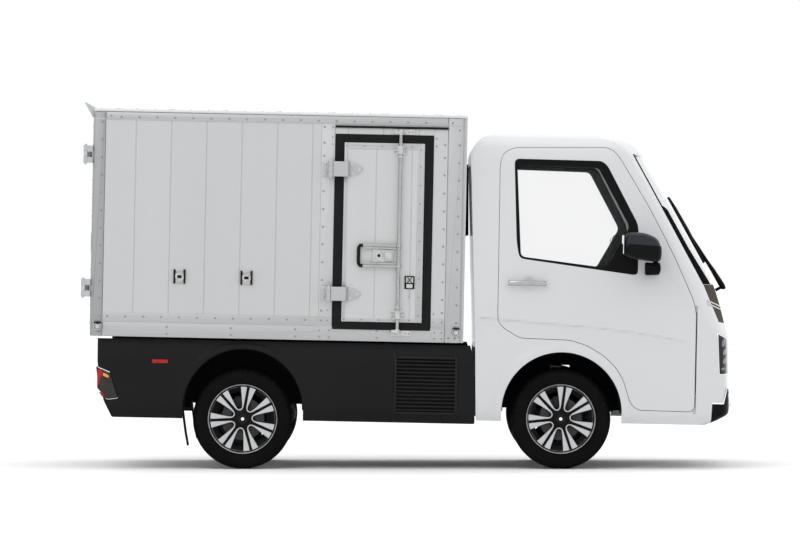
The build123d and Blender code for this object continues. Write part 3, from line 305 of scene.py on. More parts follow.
class Geo:
    """Vertices, faces and material indices of one piece, in millimetres."""

    def __init__(self, *mats):
        self.v, self.f, self.m, self.mats = [], [], [], mats

    def add(self, verts, faces, m=0):
        base = len(self.v)
        self.v.extend(verts)
        self.f.extend(tuple(base + i for i in face) for face in faces)
        self.m.extend([m] * len(faces))
        return self

    def rings(self, rings, m=0, caps=True):
        """Closed skin through rings of equal length."""
        n = len(rings[0])
        verts = [p for ring in rings for p in ring]
        faces = []
        for j in range(len(rings) - 1):
            for i in range(n):
                k = (i + 1) % n
                faces.append((j * n + i, j * n + k, (j + 1) * n + k, (j + 1) * n + i))
        if caps:
            faces.append(tuple(range(n - 1, -1, -1)))
            last = (len(rings) - 1) * n
            faces.append(tuple(last + i for i in range(n)))
        return self.add(verts, faces, m)

    def prism(self, points, low, high, axis="y", r=0.0, m=0):
        """Outline pulled along an axis, with rounded ends."""
        to = AXES[axis]
        low, high = min(low, high), max(low, high)
        r = min(r, (high - low) * 0.45)
        steps = [(low, 0.0), (high, 0.0)]
        if r:
            steps = [(low, r), (low + 0.3 * r, 0.3 * r), (low + r, 0), (high - r, 0),
                (high - 0.3 * r, 0.3 * r), (high, r)]
        rings = []
        for w, cut in steps:
            shape = grow(points, -cut) if cut else points
            rings.append([to(u, v, w) for u, v in shape])
        return self.rings(rings, m)

    def box(self, x0, x1, y0, y1, z0, z1, r=2.0, m=0):
        """Block with all its edges rounded."""
        x0, x1, y0, y1, z0, z1 = min(x0, x1), max(x0, x1), min(y0, y1), max(y0, y1), min(z0, z1), max(z0, z1)
        size = {"x": x1 - x0, "y": y1 - y0, "z": z1 - z0}
        r = min(r, min(size.values()) * 0.42)
        axis = min(size, key=size.get)
        u0, u1, v0, v1, w0, w1 = {"x": (y0, y1, z0, z1, x0, x1), "y": (x0, x1, z0, z1, y0, y1),
            "z": (x0, x1, y0, y1, z0, z1)}[axis]
        outline = fillet(rect(u0, u1, v0, v1), max(r, 0.4), 3)
        return self.prism(outline, w0, w1, axis, r, m)

    def tube(self, path, radius, m=0, sides=14, caps=True, flat=1.0):
        """Round bar along a path; radius may change from point to point."""
        path = [Vector(p) for p in path]
        radii = radius if isinstance(radius, (list, tuple)) else [radius] * len(path)
        rings, up = [], None
        for index, p in enumerate(path):
            ahead = path[min(index + 1, len(path) - 1)] - path[max(index - 1, 0)]
            ahead.normalize()
            if up is None:
                up = Vector((0, 0, 1)) if abs(ahead.z) < 0.9 else Vector((0, 1, 0))
            side = ahead.cross(up).normalized()
            up = side.cross(ahead).normalized()
            ring = []
            for k in range(sides):
                a = 2 * math.pi * k / sides
                q = p + side * math.cos(a) * radii[index] * flat + up * math.sin(a) * radii[index]
                ring.append(tuple(q))
            rings.append(ring)
        return self.rings(rings, m, caps)

    def lathe(self, profile, origin, axis="y", m=0, sides=48, closed=False, shape=None):
        """Turned skin: profile holds (along, radius); closed joins the last point to the first."""
        rings = []
        for along, radius in profile:
            ring = []
            for k in range(sides):
                a = 2 * math.pi * k / sides
                r = shape(along, radius, k) if shape else radius
                u, v = r * math.cos(a), r * math.sin(a)
                d = {"y": (u, along, v), "x": (along, u, v), "z": (u, v, along)}[axis]
                ring.append(tuple(o + e for o, e in zip(origin, d)))
            rings.append(ring)
        if closed:
            return self.rings(rings + rings[:1], m, False)
        return self.rings(rings, m)

    def studs(self, places, axis="y", sign=-1, r=6.0, h=3.4):
        """Low domed rivet heads."""
        for p in places:
            rings = [(0.0, r), (0.45 * h, r * 0.93), (0.8 * h, r * 0.66), (h, r * 0.28)]
            self.lathe([(-0.5 * sign, r)] + [(sign * a, b) for a, b in rings], p, axis, 1, 10)
        return self

    def bolts(self, places, axis="y", sign=-1, r=8.0, h=6.0, m=1):
        """Washer with a hexagon head."""
        for p in places:
            self.lathe([(-0.5 * sign, r * 1.35), (sign * 1.4, r * 1.35), (sign * 1.8, r * 1.25)], p, axis, m,
                18)
            self.lathe([(sign * 1.0, r), (sign * (h - 1), r), (sign * h, r * 0.86)], p, axis, m, 6)
        return self

    def put(self, name, body="truck", replaces=(), slot=None, raked=True, mirror=False, angle=38):
        """Make the Blender object and tie it to its body."""
        verts = [(x * MM, (-y if mirror else y) * MM, z * MM) for x, y, z in self.v]
        mesh = bpy.data.meshes.new(name)
        mesh.from_pydata(verts, [], self.f)
        mesh.polygons.foreach_set("material_index", self.m)
        o = bpy.data.objects.new(name, mesh)
        bpy.context.scene.collection.objects.link(o)
        tidy(mesh)
        return finish_piece(o, self.mats, body, replaces, slot, raked, angle)


def tidy(mesh, weld=0.0):
    """Outward normals on every closed shell; points nearer than weld (metres) are joined first."""
    bm = bmesh.new()
    bm.from_mesh(mesh)
    if weld:
        bmesh.ops.remove_doubles(bm, verts=bm.verts, dist=weld)
    bmesh.ops.recalc_face_normals(bm, faces=bm.faces)
    bm.to_mesh(mesh)
    bm.free()


def finish_piece(o, mats, body, replaces=(), slot=None, raked=True, angle=38):
    mesh = o.data
    if raked:
        mesh.transform(PITCH)
    index = [p.material_index for p in mesh.polygons]
    mesh.materials.clear()
    for key in mats:
        mesh.materials.append(M[key])
    mesh.polygons.foreach_set("material_index", index)
    for polygon in mesh.polygons:
        polygon.use_smooth = True
    mesh.set_sharp_from_angle(angle=math.radians(angle))
    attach(o, body)
    if replaces:
        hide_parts(*replaces)
    return o


def temp(geo, weld=0.0):
    """Throw-away object in body metres, for cutting."""
    mesh = bpy.data.meshes.new("cutter")
    mesh.from_pydata([(x * MM, y * MM, z * MM) for x, y, z in geo.v], [], geo.f)
    mesh.polygons.foreach_set("material_index", geo.m)
    tidy(mesh, weld)
    o = bpy.data.objects.new("cutter", mesh)
    bpy.context.scene.collection.objects.link(o)
    return o


def copy(o):
    made = bpy.data.objects.new("copy", o.data.copy())
    bpy.context.scene.collection.objects.link(made)
    return made


def drop(*objects):
    for o in objects:
        mesh = o.data
        bpy.data.objects.remove(o)
        bpy.data.meshes.remove(mesh)


def carve(target, tool, how="DIFFERENCE"):
    """Boolean of target by tool; the tool is used up."""
    mod = target.modifiers.new("carve", "BOOLEAN")
    mod.operation, mod.solver, mod.object = how, "MANIFOLD", tool
    graph = bpy.context.evaluated_depsgraph_get()
    mesh = bpy.data.meshes.new_from_object(target.evaluated_get(graph))
    if len(mesh.polygons) == 0:
        mod.solver = "EXACT"
        graph = bpy.context.evaluated_depsgraph_get()
        mesh = bpy.data.meshes.new_from_object(target.evaluated_get(graph))
    target.modifiers.clear()
    old, target.data = target.data, mesh
    bpy.data.meshes.remove(old)
    drop(tool)
    return target


def slab(points, y0, y1, radius=0.0, amount=0.0):
    """Side-view cutter across the truck."""
    shape = fillet(points, radius) if radius else list(points)
    if amount:
        shape = grow(shape, amount)
    return temp(Geo().prism(shape, y0, y1, "y"))


def block(x0, x1, y0, y1, z0, z1):
    return temp(Geo().prism(rect(x0, x1, z0, z1), y0, y1, "y"))


def cut_arch(target, arch, y0, y1, low):
    """Wheel arch cut across a target, open downwards to a height."""
    x, z = arch
    carve(target, temp(Geo().lathe([(y0, ARCH_R), (y1, ARCH_R)], (x, 0, z), "y", 0, 96)))
    carve(target, block(x - ARCH_R, x + ARCH_R, y0, y1, low, z))


def flipped(o):
    """The same object moved to the other side of the truck."""
    o.data.transform(Matrix.Diagonal((1, -1, 1, 1)))
    o.data.flip_normals()
    return o


def mirrored(o):
    """Copy on the left of the truck."""
    return flipped(copy(o))


def settle(o, name, *args, **kw):
    o.name = name
    o.data.name = name
    return finish_piece(o, *args, **kw)


# ------------------------------------------------------------------ cab surface
CAB = ((283, 369, 1700, 24, 728), (315, 368, 1775, 28, 738), (351, 367, 1829, 32, 744),
    (422, 365, 1834, 35, 747), (495, 363, 1827, 36, 748), (766, 356, 1821.5, 40, 748),
    (851, 353, 1803, 62, 747.5), (1076, 343, 1736, 91, 739.5), (1205, 338, 1665, 89, 730.5),
    (1339, 333, 1590, 87, 721.1), (1473, 327, 1511, 84, 711.7), (1607, 321, 1431, 80, 702.4),
    (1775, 313, 1326, 76, 690.6), (1809, 319, 1308, 75, 684), (1842, 335, 1279, 74, 668),
    (1875, 365, 1239, 72, 630), (1895, 398, 1175, 66, 580), (1906, 440, 1100, 60, 520))
CORNER = 105.0
F_ARCH, R_ARCH, ARCH_R = (852.0, 339.0), (-948.0, 322.0), 340.0
CREASE = ((340, 866), (1062, 817.5), (1289, 792), (1525, 755), (1700, 735))
CUP = (658.0, 1064.0, 52.0)


def slopes(xs, ys):
    """Monotone cubic slopes."""
    n = len(xs)
    h = [xs[i + 1] - xs[i] for i in range(n - 1)]
    d = [(ys[i + 1] - ys[i]) / h[i] for i in range(n - 1)]
    m = [d[0]] + [0.0] * (n - 2) + [d[-1]]
    for i in range(1, n - 1):
        if d[i - 1] * d[i] > 0:
            w1, w2 = 2 * h[i] + h[i - 1], h[i] + 2 * h[i - 1]
            m[i] = (w1 + w2) / (w1 / d[i - 1] + w2 / d[i])
    return m


LEVEL_Z = [row[0] for row in CAB]
COLUMNS = [([row[k] for row in CAB], slopes(LEVEL_Z, [row[k] for row in CAB])) for k in (1, 2, 3, 4)]


def level(z):
    """Rear, nose, bulge and half width of the cab at a height."""
    i = max(0, min(len(CAB) - 2, sum(1 for q in LEVEL_Z if q <= z) - 1))
    h = LEVEL_Z[i + 1] - LEVEL_Z[i]
    t = (z - LEVEL_Z[i]) / h
    a, b, c, e = 2 * t**3 - 3 * t**2 + 1, t**3 - 2 * t**2 + t, 3 * t**2 - 2 * t**3, t**3 - t**2
    return [y[i] * a + m[i] * h * b + y[i + 1] * c + m[i + 1] * h * e for y, m in COLUMNS]


def crease_z(x):
    for (x0, z0), (x1, z1) in zip(CREASE, CREASE[1:]):
        if x <= x1:
            return z0 + (z1 - z0) * max(0.0, (x - x0)) / (x1 - x0)
    return CREASE[-1][1]


def relief(x, z):
    """How far the cab side stands out from its plain surface: arch flare, belt crease, handle cup."""
    r = math.hypot(x - F_ARCH[0], z - F_ARCH[1]) if z > F_ARCH[1] else abs(x - F_ARCH[0])
    out = 9.0 * smooth((r - 330) / 8) * (1 - smooth((r - 374) / 16))
    down = crease_z(x) - z
    if down > -8:
        out -= 10.0 * smooth((down + 7) / 13) * (1 - smooth(down / 260)) * (1 - smooth((x - 1480) / 150))
    out -= 13.0 * smooth(1.25 * (1 - math.hypot(x - CUP[0], z - CUP[1]) / CUP[2]))
    return out


# heights of the form's sections, closer together over the roof's edge
ZS = [283 + k * (1767 - 283) / 124 for k in range(125)] + [1775 + k * 6.55 for k in range(21)]


def cab_form(cut=0.0, front=0.0, top=0.0, detail=True):
    """Closed cab form, shrunk sideways by cut, at the nose by front, at the roof by top."""
    n_side, n_corner, n_front = (110 if detail else 24), 12, 14
    rows = []
    for z in ZS:
        rear, nose, bulge, half = level(z)
        w, tip = half - cut, nose - front
        edge = w - CORNER * 0.9
        x_edge = tip - bulge
        x_corner = x_edge - (w - edge) * 2 * bulge / edge
        x_side, back = x_corner - CORNER * 0.55, rear + cut
        side = []
        for k in range(n_side + 1):
            x = back + (x_side - back) * k / n_side
            lift = relief(x, z) * smooth(k / 3) * smooth((n_side - k) / 4) if detail and cut < 8 else 0.0
            side.append((x, w + lift))
        for k in range(1, n_corner + 1):
            t = k / n_corner
            side.append((x_side * (1 - t) ** 2 + x_corner * 2 * t * (1 - t) + x_edge * t * t,
                w * (1 - t) ** 2 + w * 2 * t * (1 - t) + edge * t * t))
        for k in range(1, n_front):
            y = edge * (1 - k / n_front)
            side.append((tip - bulge * (y / edge) ** 2, y))
        ring = [(x, -y) for x, y in side] + [(tip, 0.0)] + [(x, y) for x, y in side[::-1]]
        ring += [(back, w * q / 6.0) for q in (5, 3, 1, -1, -3, -5)]
        height = z - top * smooth((z - 1700) / 160) - (1 if cut and z == ZS[0] else 0)
        rows.append([(x, y, height) for x, y in ring])
    crown = [(x * 0.985 + 12, y * 0.97, z + (2.0 if not top else 0.5)) for x, y, z in rows[-1]]
    return temp(Geo().rings(rows + [crown]))


DOOR_LINE = ((478, 1740), (496, 1800), (561, 1833), (1076, 1843), (1120, 1828), (1158, 1784), (1218, 1688),
    (1326, 1511), (1427, 1324), (1482, 1216), (1554, 1061), (1588, 982), (1604, 915), (1604, 385),
    (1594, 362), (1570, 355), (1283, 358), (1238, 394), (1195, 530), (1152, 598), (1085, 661), (987, 718),
    (895, 746), (609, 752), (517, 806), (488, 835), (480, 870))
WINDOW_LINE = ((560, 1768), (1056, 1764), (1089, 1736), (1262, 1415), (1269, 1372), (1269, 1120), (597, 1204),
    (580, 1300))
GLASS_LINE = ((577, 1732), (1036, 1724), (1218, 1394), (1088, 1160), (606, 1215))
PANE_LINE = ((566, 1160), (1090, 1146), (1226, 1394), (1040, 1732), (568, 1744))
CAB_PIN = (1602, 743)                              # hinge axis of a cab door (x, y)
PANE_Y, TUMBLE = 690.8, 0.07                       # half width of the door glass at z 1400, and its lean
WINDSHIELD_LINE = ((1233, 1809), (1400, 1809), (1800, 1200), (1800, 1080), (1642.5, 1080))
FRIT_LINE = ((1233, 1809), (1243, 1809), (1404, 1521), (1440, 1500), (1560, 1290), (1700, 1078), (1642, 1078))
BAND_LINE = ((1644.5, 1076), (1820, 1076), (1840, 848), (1736, 865))
BUMPER_LINE = ((1692, 200), (1900, 200), (1900, 492), (1789, 492), (1768, 404), (1702, 404))
LAMP_LINE = ((1722, 811), (1737, 800), (1812, 760), (1812, 572), (1735, 566))
TAIL_LINE = ((-1790, 553), (-1698, 515), (-1650, 369), (-1718, 359), (-1780, 430))
BELT = ((400, 1229), (1700, 1066), (1700, 200), (400, 200))


def core(cut, front, top=0.0):
    """Plain cab form, shrunk, to hollow a piece or to start a thin one."""
    return cab_form(cut, front, top, False)


def skin(source, cutter, depth):
    """The part of a cab form inside a cutter, hollowed from a depth inwards."""
    return carve(carve(source, cutter, "INTERSECT"), core(depth, depth))


def build_shell(outer):
    """Painted shell with its openings; rooms are hollowed from the inner form, zone by zone."""
    inner = core(12, 12, 14)
    shell = copy(outer)
    for zone in ((200, 1900, -800, 800, 702, 1950), (1212, 1900, -800, 800, 452, 703),
            (200, 1200, -800, 800, 100, 690), (1199, 1900, -800, 800, 100, 440)):
        room = carve(copy(inner), block(*zone), "INTERSECT")
        carve(shell, room)
    carve(shell, block(200, 420, -690, 690, 100, 690))
    for line in (WINDSHIELD_LINE, BAND_LINE, BUMPER_LINE):
        carve(shell, slab(line, -900, 900))
    rear = fillet(rect(-480, 480, 1330, 1735), 50, 6)
    carve(shell, temp(Geo().prism(rear, 300, 380, "x")))
    for sign in (-1, 1):
        a, b = sign * 640, sign * 800
        cut_arch(shell, F_ARCH, a, b, 100)
        carve(shell, slab(DOOR_LINE, sign * 600, b, 28))
        carve(shell, slab(LAMP_LINE, sign * 520, b, 14))
        carve(shell, temp(Geo().lathe([(345, 9), (955, 9)], (CAB_PIN[0], sign * CAB_PIN[1], 0), "z", 0, 40)))
    settle(shell, "cab_shell_painted", ["white"], "truck", ["cab_shell"], "white_paint", angle=30)
    drop(inner)


def build_front(outer):
    """Windshield, rear window seal, cowl band, strips, bumper and headlight faces, with painted highlights on
    the headlight lenses.
    """
    shield = carve(copy(outer), slab(WINDSHIELD_LINE, -640, 640, 0, -1.0), "INTERSECT")
    carve(shield, core(0, 6.5))
    settle(shield, "windshield", ["shield"], "truck", ["cab_glass"], "clear_glass")
    border = Geo("trim")
    border.prism([(304, 1331), (311, 1331), (303, 1734), (296, 1734)], -479, 479, "y", 1)
    border.put("rear_window_seal", "truck", (), "clear_glass")
    frit = skin(core(-0.6, -0.8), slab(FRIT_LINE, -780, 780), 5)
    settle(frit, "windshield_border", ["frit"], "truck", (), "clear_glass")
    for k, (dx, dz) in enumerate(((0, 0), (-1, 17))):
        line = ((1668 + dx, 990 - dz), (1668 + dx, 982 - dz), (1790, 940 - dz), (1790, 948 - dz))
        strip = skin(core(-2, -2.5), slab(line, -780, 780), 4)
        settle(strip, f"cowl_strip_{k}", ["zinc"], "truck", (), "chrome_trim")
    line = ((1699, 411), (1703, 403), (1768, 403), (1789, 489), (1812, 489), (1812, 497), (1784, 497),
        (1763, 411))
    settle(skin(core(-2, -2.5), slab(line, -780, 780), 5), "bumper_strip", ["chrome"], "truck", (),
        "chrome_trim")
    band = skin(copy(outer), slab(BAND_LINE, -760, 760, 0, -1.0), 8)
    settle(band, "cowl_band", ["bronze"], "truck", ["front_panel"], "bronze_plastic")
    bumper = skin(copy(outer), slab(BUMPER_LINE, -760, 760, 6, -1.0), 30)
    settle(bumper, "front_bumper", ["bumper"], "truck", ["bumper_grille"], "bumper_steel")
    lamp = skin(copy(outer), slab(LAMP_LINE, -800, 800, 14, -1.5), 60)
    carve(lamp, block(1500, 1900, -470, 470, 500, 900))
    settle(lamp, "headlight_lenses", ["smoke"], "truck", ["headlights"], "lamp_clear", angle=30)
    # oval spots on the outer lens: painted highlights where the projector units behind the lens catch light
    for k, (x, z, u, w) in enumerate(((1762, 752, 11, 24), (1768, 697, 10, 17), (1770, 648, 11, 18),
            (1762, 602, 12, 8))):
        oval = [(x + u * c + w * 0.2 * s, z + w * s) for c, s in round_points(0, 0, 1, 20)]
        spot = skin(core(-1, -1.2), slab(oval, -800, 800), 4)
        carve(spot, block(1500, 1900, -560, 560, 500, 900))
        settle(spot, f"headlight_projector_highlight_{k}", ["projector"], "truck", (), "lamp_clear", angle=40)
    rim = carve(core(-1.2, -1.5), slab(LAMP_LINE, -800, 800, 14, -0.5), "INTERSECT")
    carve(rim, slab(LAMP_LINE, -820, 820, 14, -5.5))
    carve(rim, core(6, 6))
    carve(rim, block(1500, 1900, -470, 470, 500, 900))
    settle(rim, "headlight_bezels", ["chrome"], "truck", (), "lamp_clear", angle=40)


def build_doors(outer):
    """Door skins below the belt, frames above it, and window surrounds."""
    door = carve(copy(outer), slab(DOOR_LINE, -800, -560, 28, -3.0), "INTERSECT")
    low = carve(copy(door), slab(BELT, -810, -550), "INTERSECT")
    carve(low, core(36, 36))
    for depth, start in ((13, 1470), (5, 1586)):
        carve(low, carve(core(depth, depth), block(start, 1640, -800, -560, 300, 1200), "INTERSECT"))
    carve(door, slab(BELT, -810, -550))
    carve(door, core(24, 24))
    carve(door, slab(WINDOW_LINE, -800, -560, 30))
    carve(low, slab(WINDOW_LINE, -800, -560, 30))
    surround = skin(core(2, 2), slab(WINDOW_LINE, -800, -560, 30, -0.6), 22)
    carve(surround, slab(GLASS_LINE, -800, -560, 26))
    pieces = ((door, "door_frame", ["white"], ()), (low, "door_skin", ["white"], ("cab_door",)),
        (surround, "window_surround", ["trim"], ("door_trim",)))
    for piece, name, mats, stands in pieces:
        twin = mirrored(piece)
        for o, side in ((piece, "right"), (twin, "left")):
            settle(o, f"{name}_{side}", mats, f"cab_door_{side}", [f"{s}_{side}" for s in stands],
                "trim_black" if mats == ["trim"] else "white_paint", angle=30)


def build_panes():
    """Flat door glass leaning in with the cab side."""
    for side, mirror in SIDES:
        pane = Geo("glass").prism(fillet(PANE_LINE, 12), -PANE_Y, 4.2 - PANE_Y, "y", 1)
        pane.v = [(x, y + (z - 1400) * TUMBLE, z) for x, y, z in pane.v]
        pane.put(f"door_glass_{side}", f"window_{side}", [f"window_{side}"], "clear_glass", mirror=mirror)


cab = cab_form()
build_shell(cab)
build_front(cab)
build_doors(cab)
drop(cab)
build_panes()


# ------------------------------------------------------------------ cargo box
PLANKS = [-1579 + 199.5 * k for k in range(9)]
HINGE_BANDS = ((1642, 1733), (941, 1026))
REAR_BANDS = ((1694, 1793), (939, 1039))
POST_ROW = [1929 - 99.9 * k for k in range(12)]
DOOR_POST_ROW = [1924, 1835, 1762, 1663, 1561, 1460, 1360, 1261, 1161, 1060, 961, 886, 832]
FRONT_ROW = [1835 - 100.4 * k for k in range(11)]
SIDE_FACE, SIDE_ROD, SIDE_PIN = -758, (-85, -778), (-477, -795)     # side door: face, lock rod, hinge pin
REAR_FACE, REAR_ROD, REAR_PIN = -1824, (-1844, -62), (-1862, 767)   # right rear door; pin at y -767


def planks(geo, a0, a1, z0, z1, out, back, joints, axis="y"):
    """Upright panel whose outer face has a narrow groove at each plank joint."""
    face = [(a0, out)]
    dip = 2.6 if out < back else -2.6
    for a in joints:
        if a0 + 12 < a < a1 - 12:
            face += [(a - 3.2, out), (a - 1.2, out + dip), (a + 1.2, out + dip), (a + 3.2, out)]
    face += [(a1, out), (a1, back), (a0, back)]
    if axis == "x":
        face = [(v, u) for u, v in face]
    geo.prism(face, z0, z1, "z")


def build_walls():
    """Side walls and front wall of the box in planks."""
    walls = Geo("panel", "rivet")
    for sign in (-1, 1):
        y0, y1 = sign * 753, sign * 735
        spans = [(-1750, -532, 796.5, 1945), (103, 181, 796.5, 1945),
            (-454, 102, 1887, 1945)] if sign < 0 else \
            [(-1750, 181, 796.5, 1945)]
        for x0, x1, z0, z1 in spans:
            planks(walls, x0, x1, z0, z1, y0, y1, PLANKS)
        if sign < 0:
            walls.box(-531.5, -455, y0 - 1.4, y1, 796.5, 1945, 2)
        walls.studs([(-1723 + 101.4 * k, sign * 754.6, 832) for k in range(12 if sign < 0 else 19)],
            sign=sign)
    planks(walls, -733, 733, 720, 1985, 290, 270, [-600 + 200 * k for k in range(7)], "x")
    walls.put("box_panels", "truck", ["box_walls"], "panel_grey")


def build_rails():
    """Posts and rails of the box with their rivets."""
    rails = Geo("alloy", "rivet", "post")
    for sign in (-1, 1):
        a, b, c = sign * 755, sign * 735, sign * 700
        rails.box(-1820, -1751, a, c, 718.5, 1985, 7, 2)
        rails.box(182, 269.5, a, b, 718.5, 1985, 5)
        rails.box(-1750.5, 181.5, a, b, 1945.5, 1985, 4)
        rails.box(-1820, 269.5, sign * 755.8, sign * 752, 1941, 1947, 1)
        rails.box(-1750.5, 181.5, a, b, 718.5, 800, 4)
        rails.box(-1750.5, -455 if sign < 0 else 181.5, sign * 754.8, sign * 750, 801, 855, 1.2)
        if sign < 0:
            rails.box(103, 181.5, -754.8, -750, 801, 855, 1.2)
            rails.box(-540, -455, -756, -750, 724, 790, 1.2)
            rails.box(110, 178, -756, -750, 724, 790, 1.2)
        rails.studs([(-1664 + 101.2 * k, a, 1958) for k in range(18)] + [(-1812, a, 1965), (-1722, a, 1964)],
            sign=sign)
        rails.studs([(-1769, a, z) for z in POST_ROW] + [(-1769, a, 742)], sign=sign)
        rails.studs([(247, a, z) for z in FRONT_ROW] + [(247, a, 1919), (205, a, 1960), (205, a, 745),
            (240, a, 742)], sign=sign)
        if sign < 0:
            rails.studs([(-516, -754.4, z) for z in DOOR_POST_ROW] + [(166, -753, z) for z in DOOR_POST_ROW],
                sign=-1)
            rails.studs([(x, -753, z) for x, z in ((-470, 1924), (-422, 1924), (-382, 1924), (-470, 1868),
                (-470, 1828), (30, 1924), (60, 1924), (110, 1924), (118, 1870), (118, 1826), (118, 880),
                (118, 832), (-480, 832), (-480, 890))], sign=-1, r=5)
            rails.studs([(x, -756, z) for x in (-525, -470, 125, 165) for z in (740, 775)], sign=-1, r=5)
        else:
            rails.studs([(-516, 753, z) for z in DOOR_POST_ROW] + [(166, 753, z) for z in DOOR_POST_ROW],
                sign=1)
        for x in (-1386, -1023, -660, -200):
            rails.studs([(x, a, 778), (x, a, 738)], sign=sign)
    rails.box(-1820, -1751, -699.5, 699.5, 1930, 1985, 5)
    rails.box(-1820, -1751, -699.5, 699.5, 718.5, 774, 5)
    rails.studs([(-1820, -650 + 100 * k, z) for k in range(14) for z in (1958, 745)], "x")
    rails.put("box_frame_rails", "truck", ["box_frame"], "frame_alloy")


def build_roof():
    """Roof cap with ribs, rear visor, drip rail over the side door."""
    roof = Geo("roof", "rivet")
    outline = fillet(rect(-750, 750, 1986, 2004), 12, 4)
    roof.prism(outline, -1820, 290, "x", 5)
    for k in range(7):
        roof.box(-1700 + 300 * k, -1660 + 300 * k, -735, 735, 2003, 2006.5, 1.5)
    roof.studs([(-1780 + 101.2 * k, y, 2004) for k in range(21) for y in (-738, 738)], "z", 1, 5, 2.5)
    roof.put("roof_cap", "truck", ["box_roof"], "roof_white")

    visor = Geo("alloy", "rivet", "frame")
    lean = [(-1821, 1952), (-1826, 1952), (-1874, 2034), (-1869, 2037)]
    visor.prism(lean + [(-1821, 1962)], -735, 735, "y", 1)
    for sign in (-1, 1):
        visor.prism(lean + [(-1821, 2004)], sign * 736, sign * 731, "y", 1)
    visor.prism([(-755.2, 1921), (-763, 1921), (-766, 1934), (-760, 1934), (-755.2, 1930)], -455, 182, "x",
        0.8, 2)
    visor.put("visor_and_drip_rail", "truck", ["rain_visor"], "visor_alloy")


def build_seal():
    """Rubber seal round the side door: two stepped frames."""
    seal = Geo("seal")
    for grow_by, y in ((0, -759), (14, -757)):
        x0, x1, z0, z1 = -453 + grow_by, 101 - grow_by, 784 + grow_by, 1885 - grow_by
        outer = fillet(rect(x0, x1, z0, z1), 6, 3)
        lap = 0 if grow_by else 16
        inner = fillet(rect(-405 - lap, 55 + lap, 825 - lap, 1842 + lap), 6, 3)
        rings = []
        for shape, depth in ((grow(outer, -2), y), (outer, y + 2), (outer, -735), (inner, -735),
                (inner, y + 2), (grow(inner, 2), y)):
            rings.append([(u, depth, v) for u, v in shape])
        seal.rings(rings + rings[:1], 0, False)
    seal.put("door_seal", "truck", ["door_seals"], "seal_rubber")


def strap(geo, low, high):
    """Cranked strap hinge leaf on the side door with three bolts."""
    (ax, ay), face, mid = SIDE_PIN, SIDE_FACE, (low + high) / 2
    section = [(ax + 15, ay - 5), (-380, ay - 5), (-367, face - 7), (-366, face - 7)]
    section += [(-366, face), (-372, face), (-385, ay + 2), (ax + 15, ay + 2)]
    geo.prism(section, low + 3, high - 3, "z", 1.4)
    leafy = fillet([(-372, low + 3), (-318, mid - 26), (-296, mid - 8), (-296, mid + 8), (-318, mid + 26),
        (-372, high - 3)], 12)
    geo.prism(leafy, face, face - 6, "y", 1.6)
    third = (high - low) / 3
    geo.lathe([(low + third, 14), (high - third, 14)], (ax, ay, 0), "z", 0, 28)
    geo.bolts([(-357, face - 6, mid + 24), (-314, face - 6, mid - 2), (-357, face - 6, mid - 26)], "y", -1, 7,
        5, 1)


def bearing(door, along, face, half, z, axis):
    """Plate, block and bolts that carry a lock rod, at a place along the door's face."""
    to = AXES[axis]
    plate = [(along + u, z + v) for u, v in ((-half, -14), (-half / 2, -28), (half / 2, -28), (half, -14),
        (half, 14), (half / 2, 28), (-half / 2, 28), (-half, 14))]
    door.prism(fillet(plate, 9), face, face - 6, axis, 1.5, 3)
    door.lathe([(-24, 15), (-22, 18), (22, 18), (24, 15)], to(along, z, face - 20), "z", 3, 28)
    (x0, y0, z0), (x1, y1, z1) = to(along - 17, z - 20, face), to(along + 17, z + 20, face - 18)
    door.box(x0, x1, y0, y1, z0, z1, 4, 3)
    spots = [to(along + u, z + v, face - 6) for u in (8 - half, half - 8) for v in (-10, 10)]
    door.bolts(spots, axis, -1, 5.5, 4, 5)


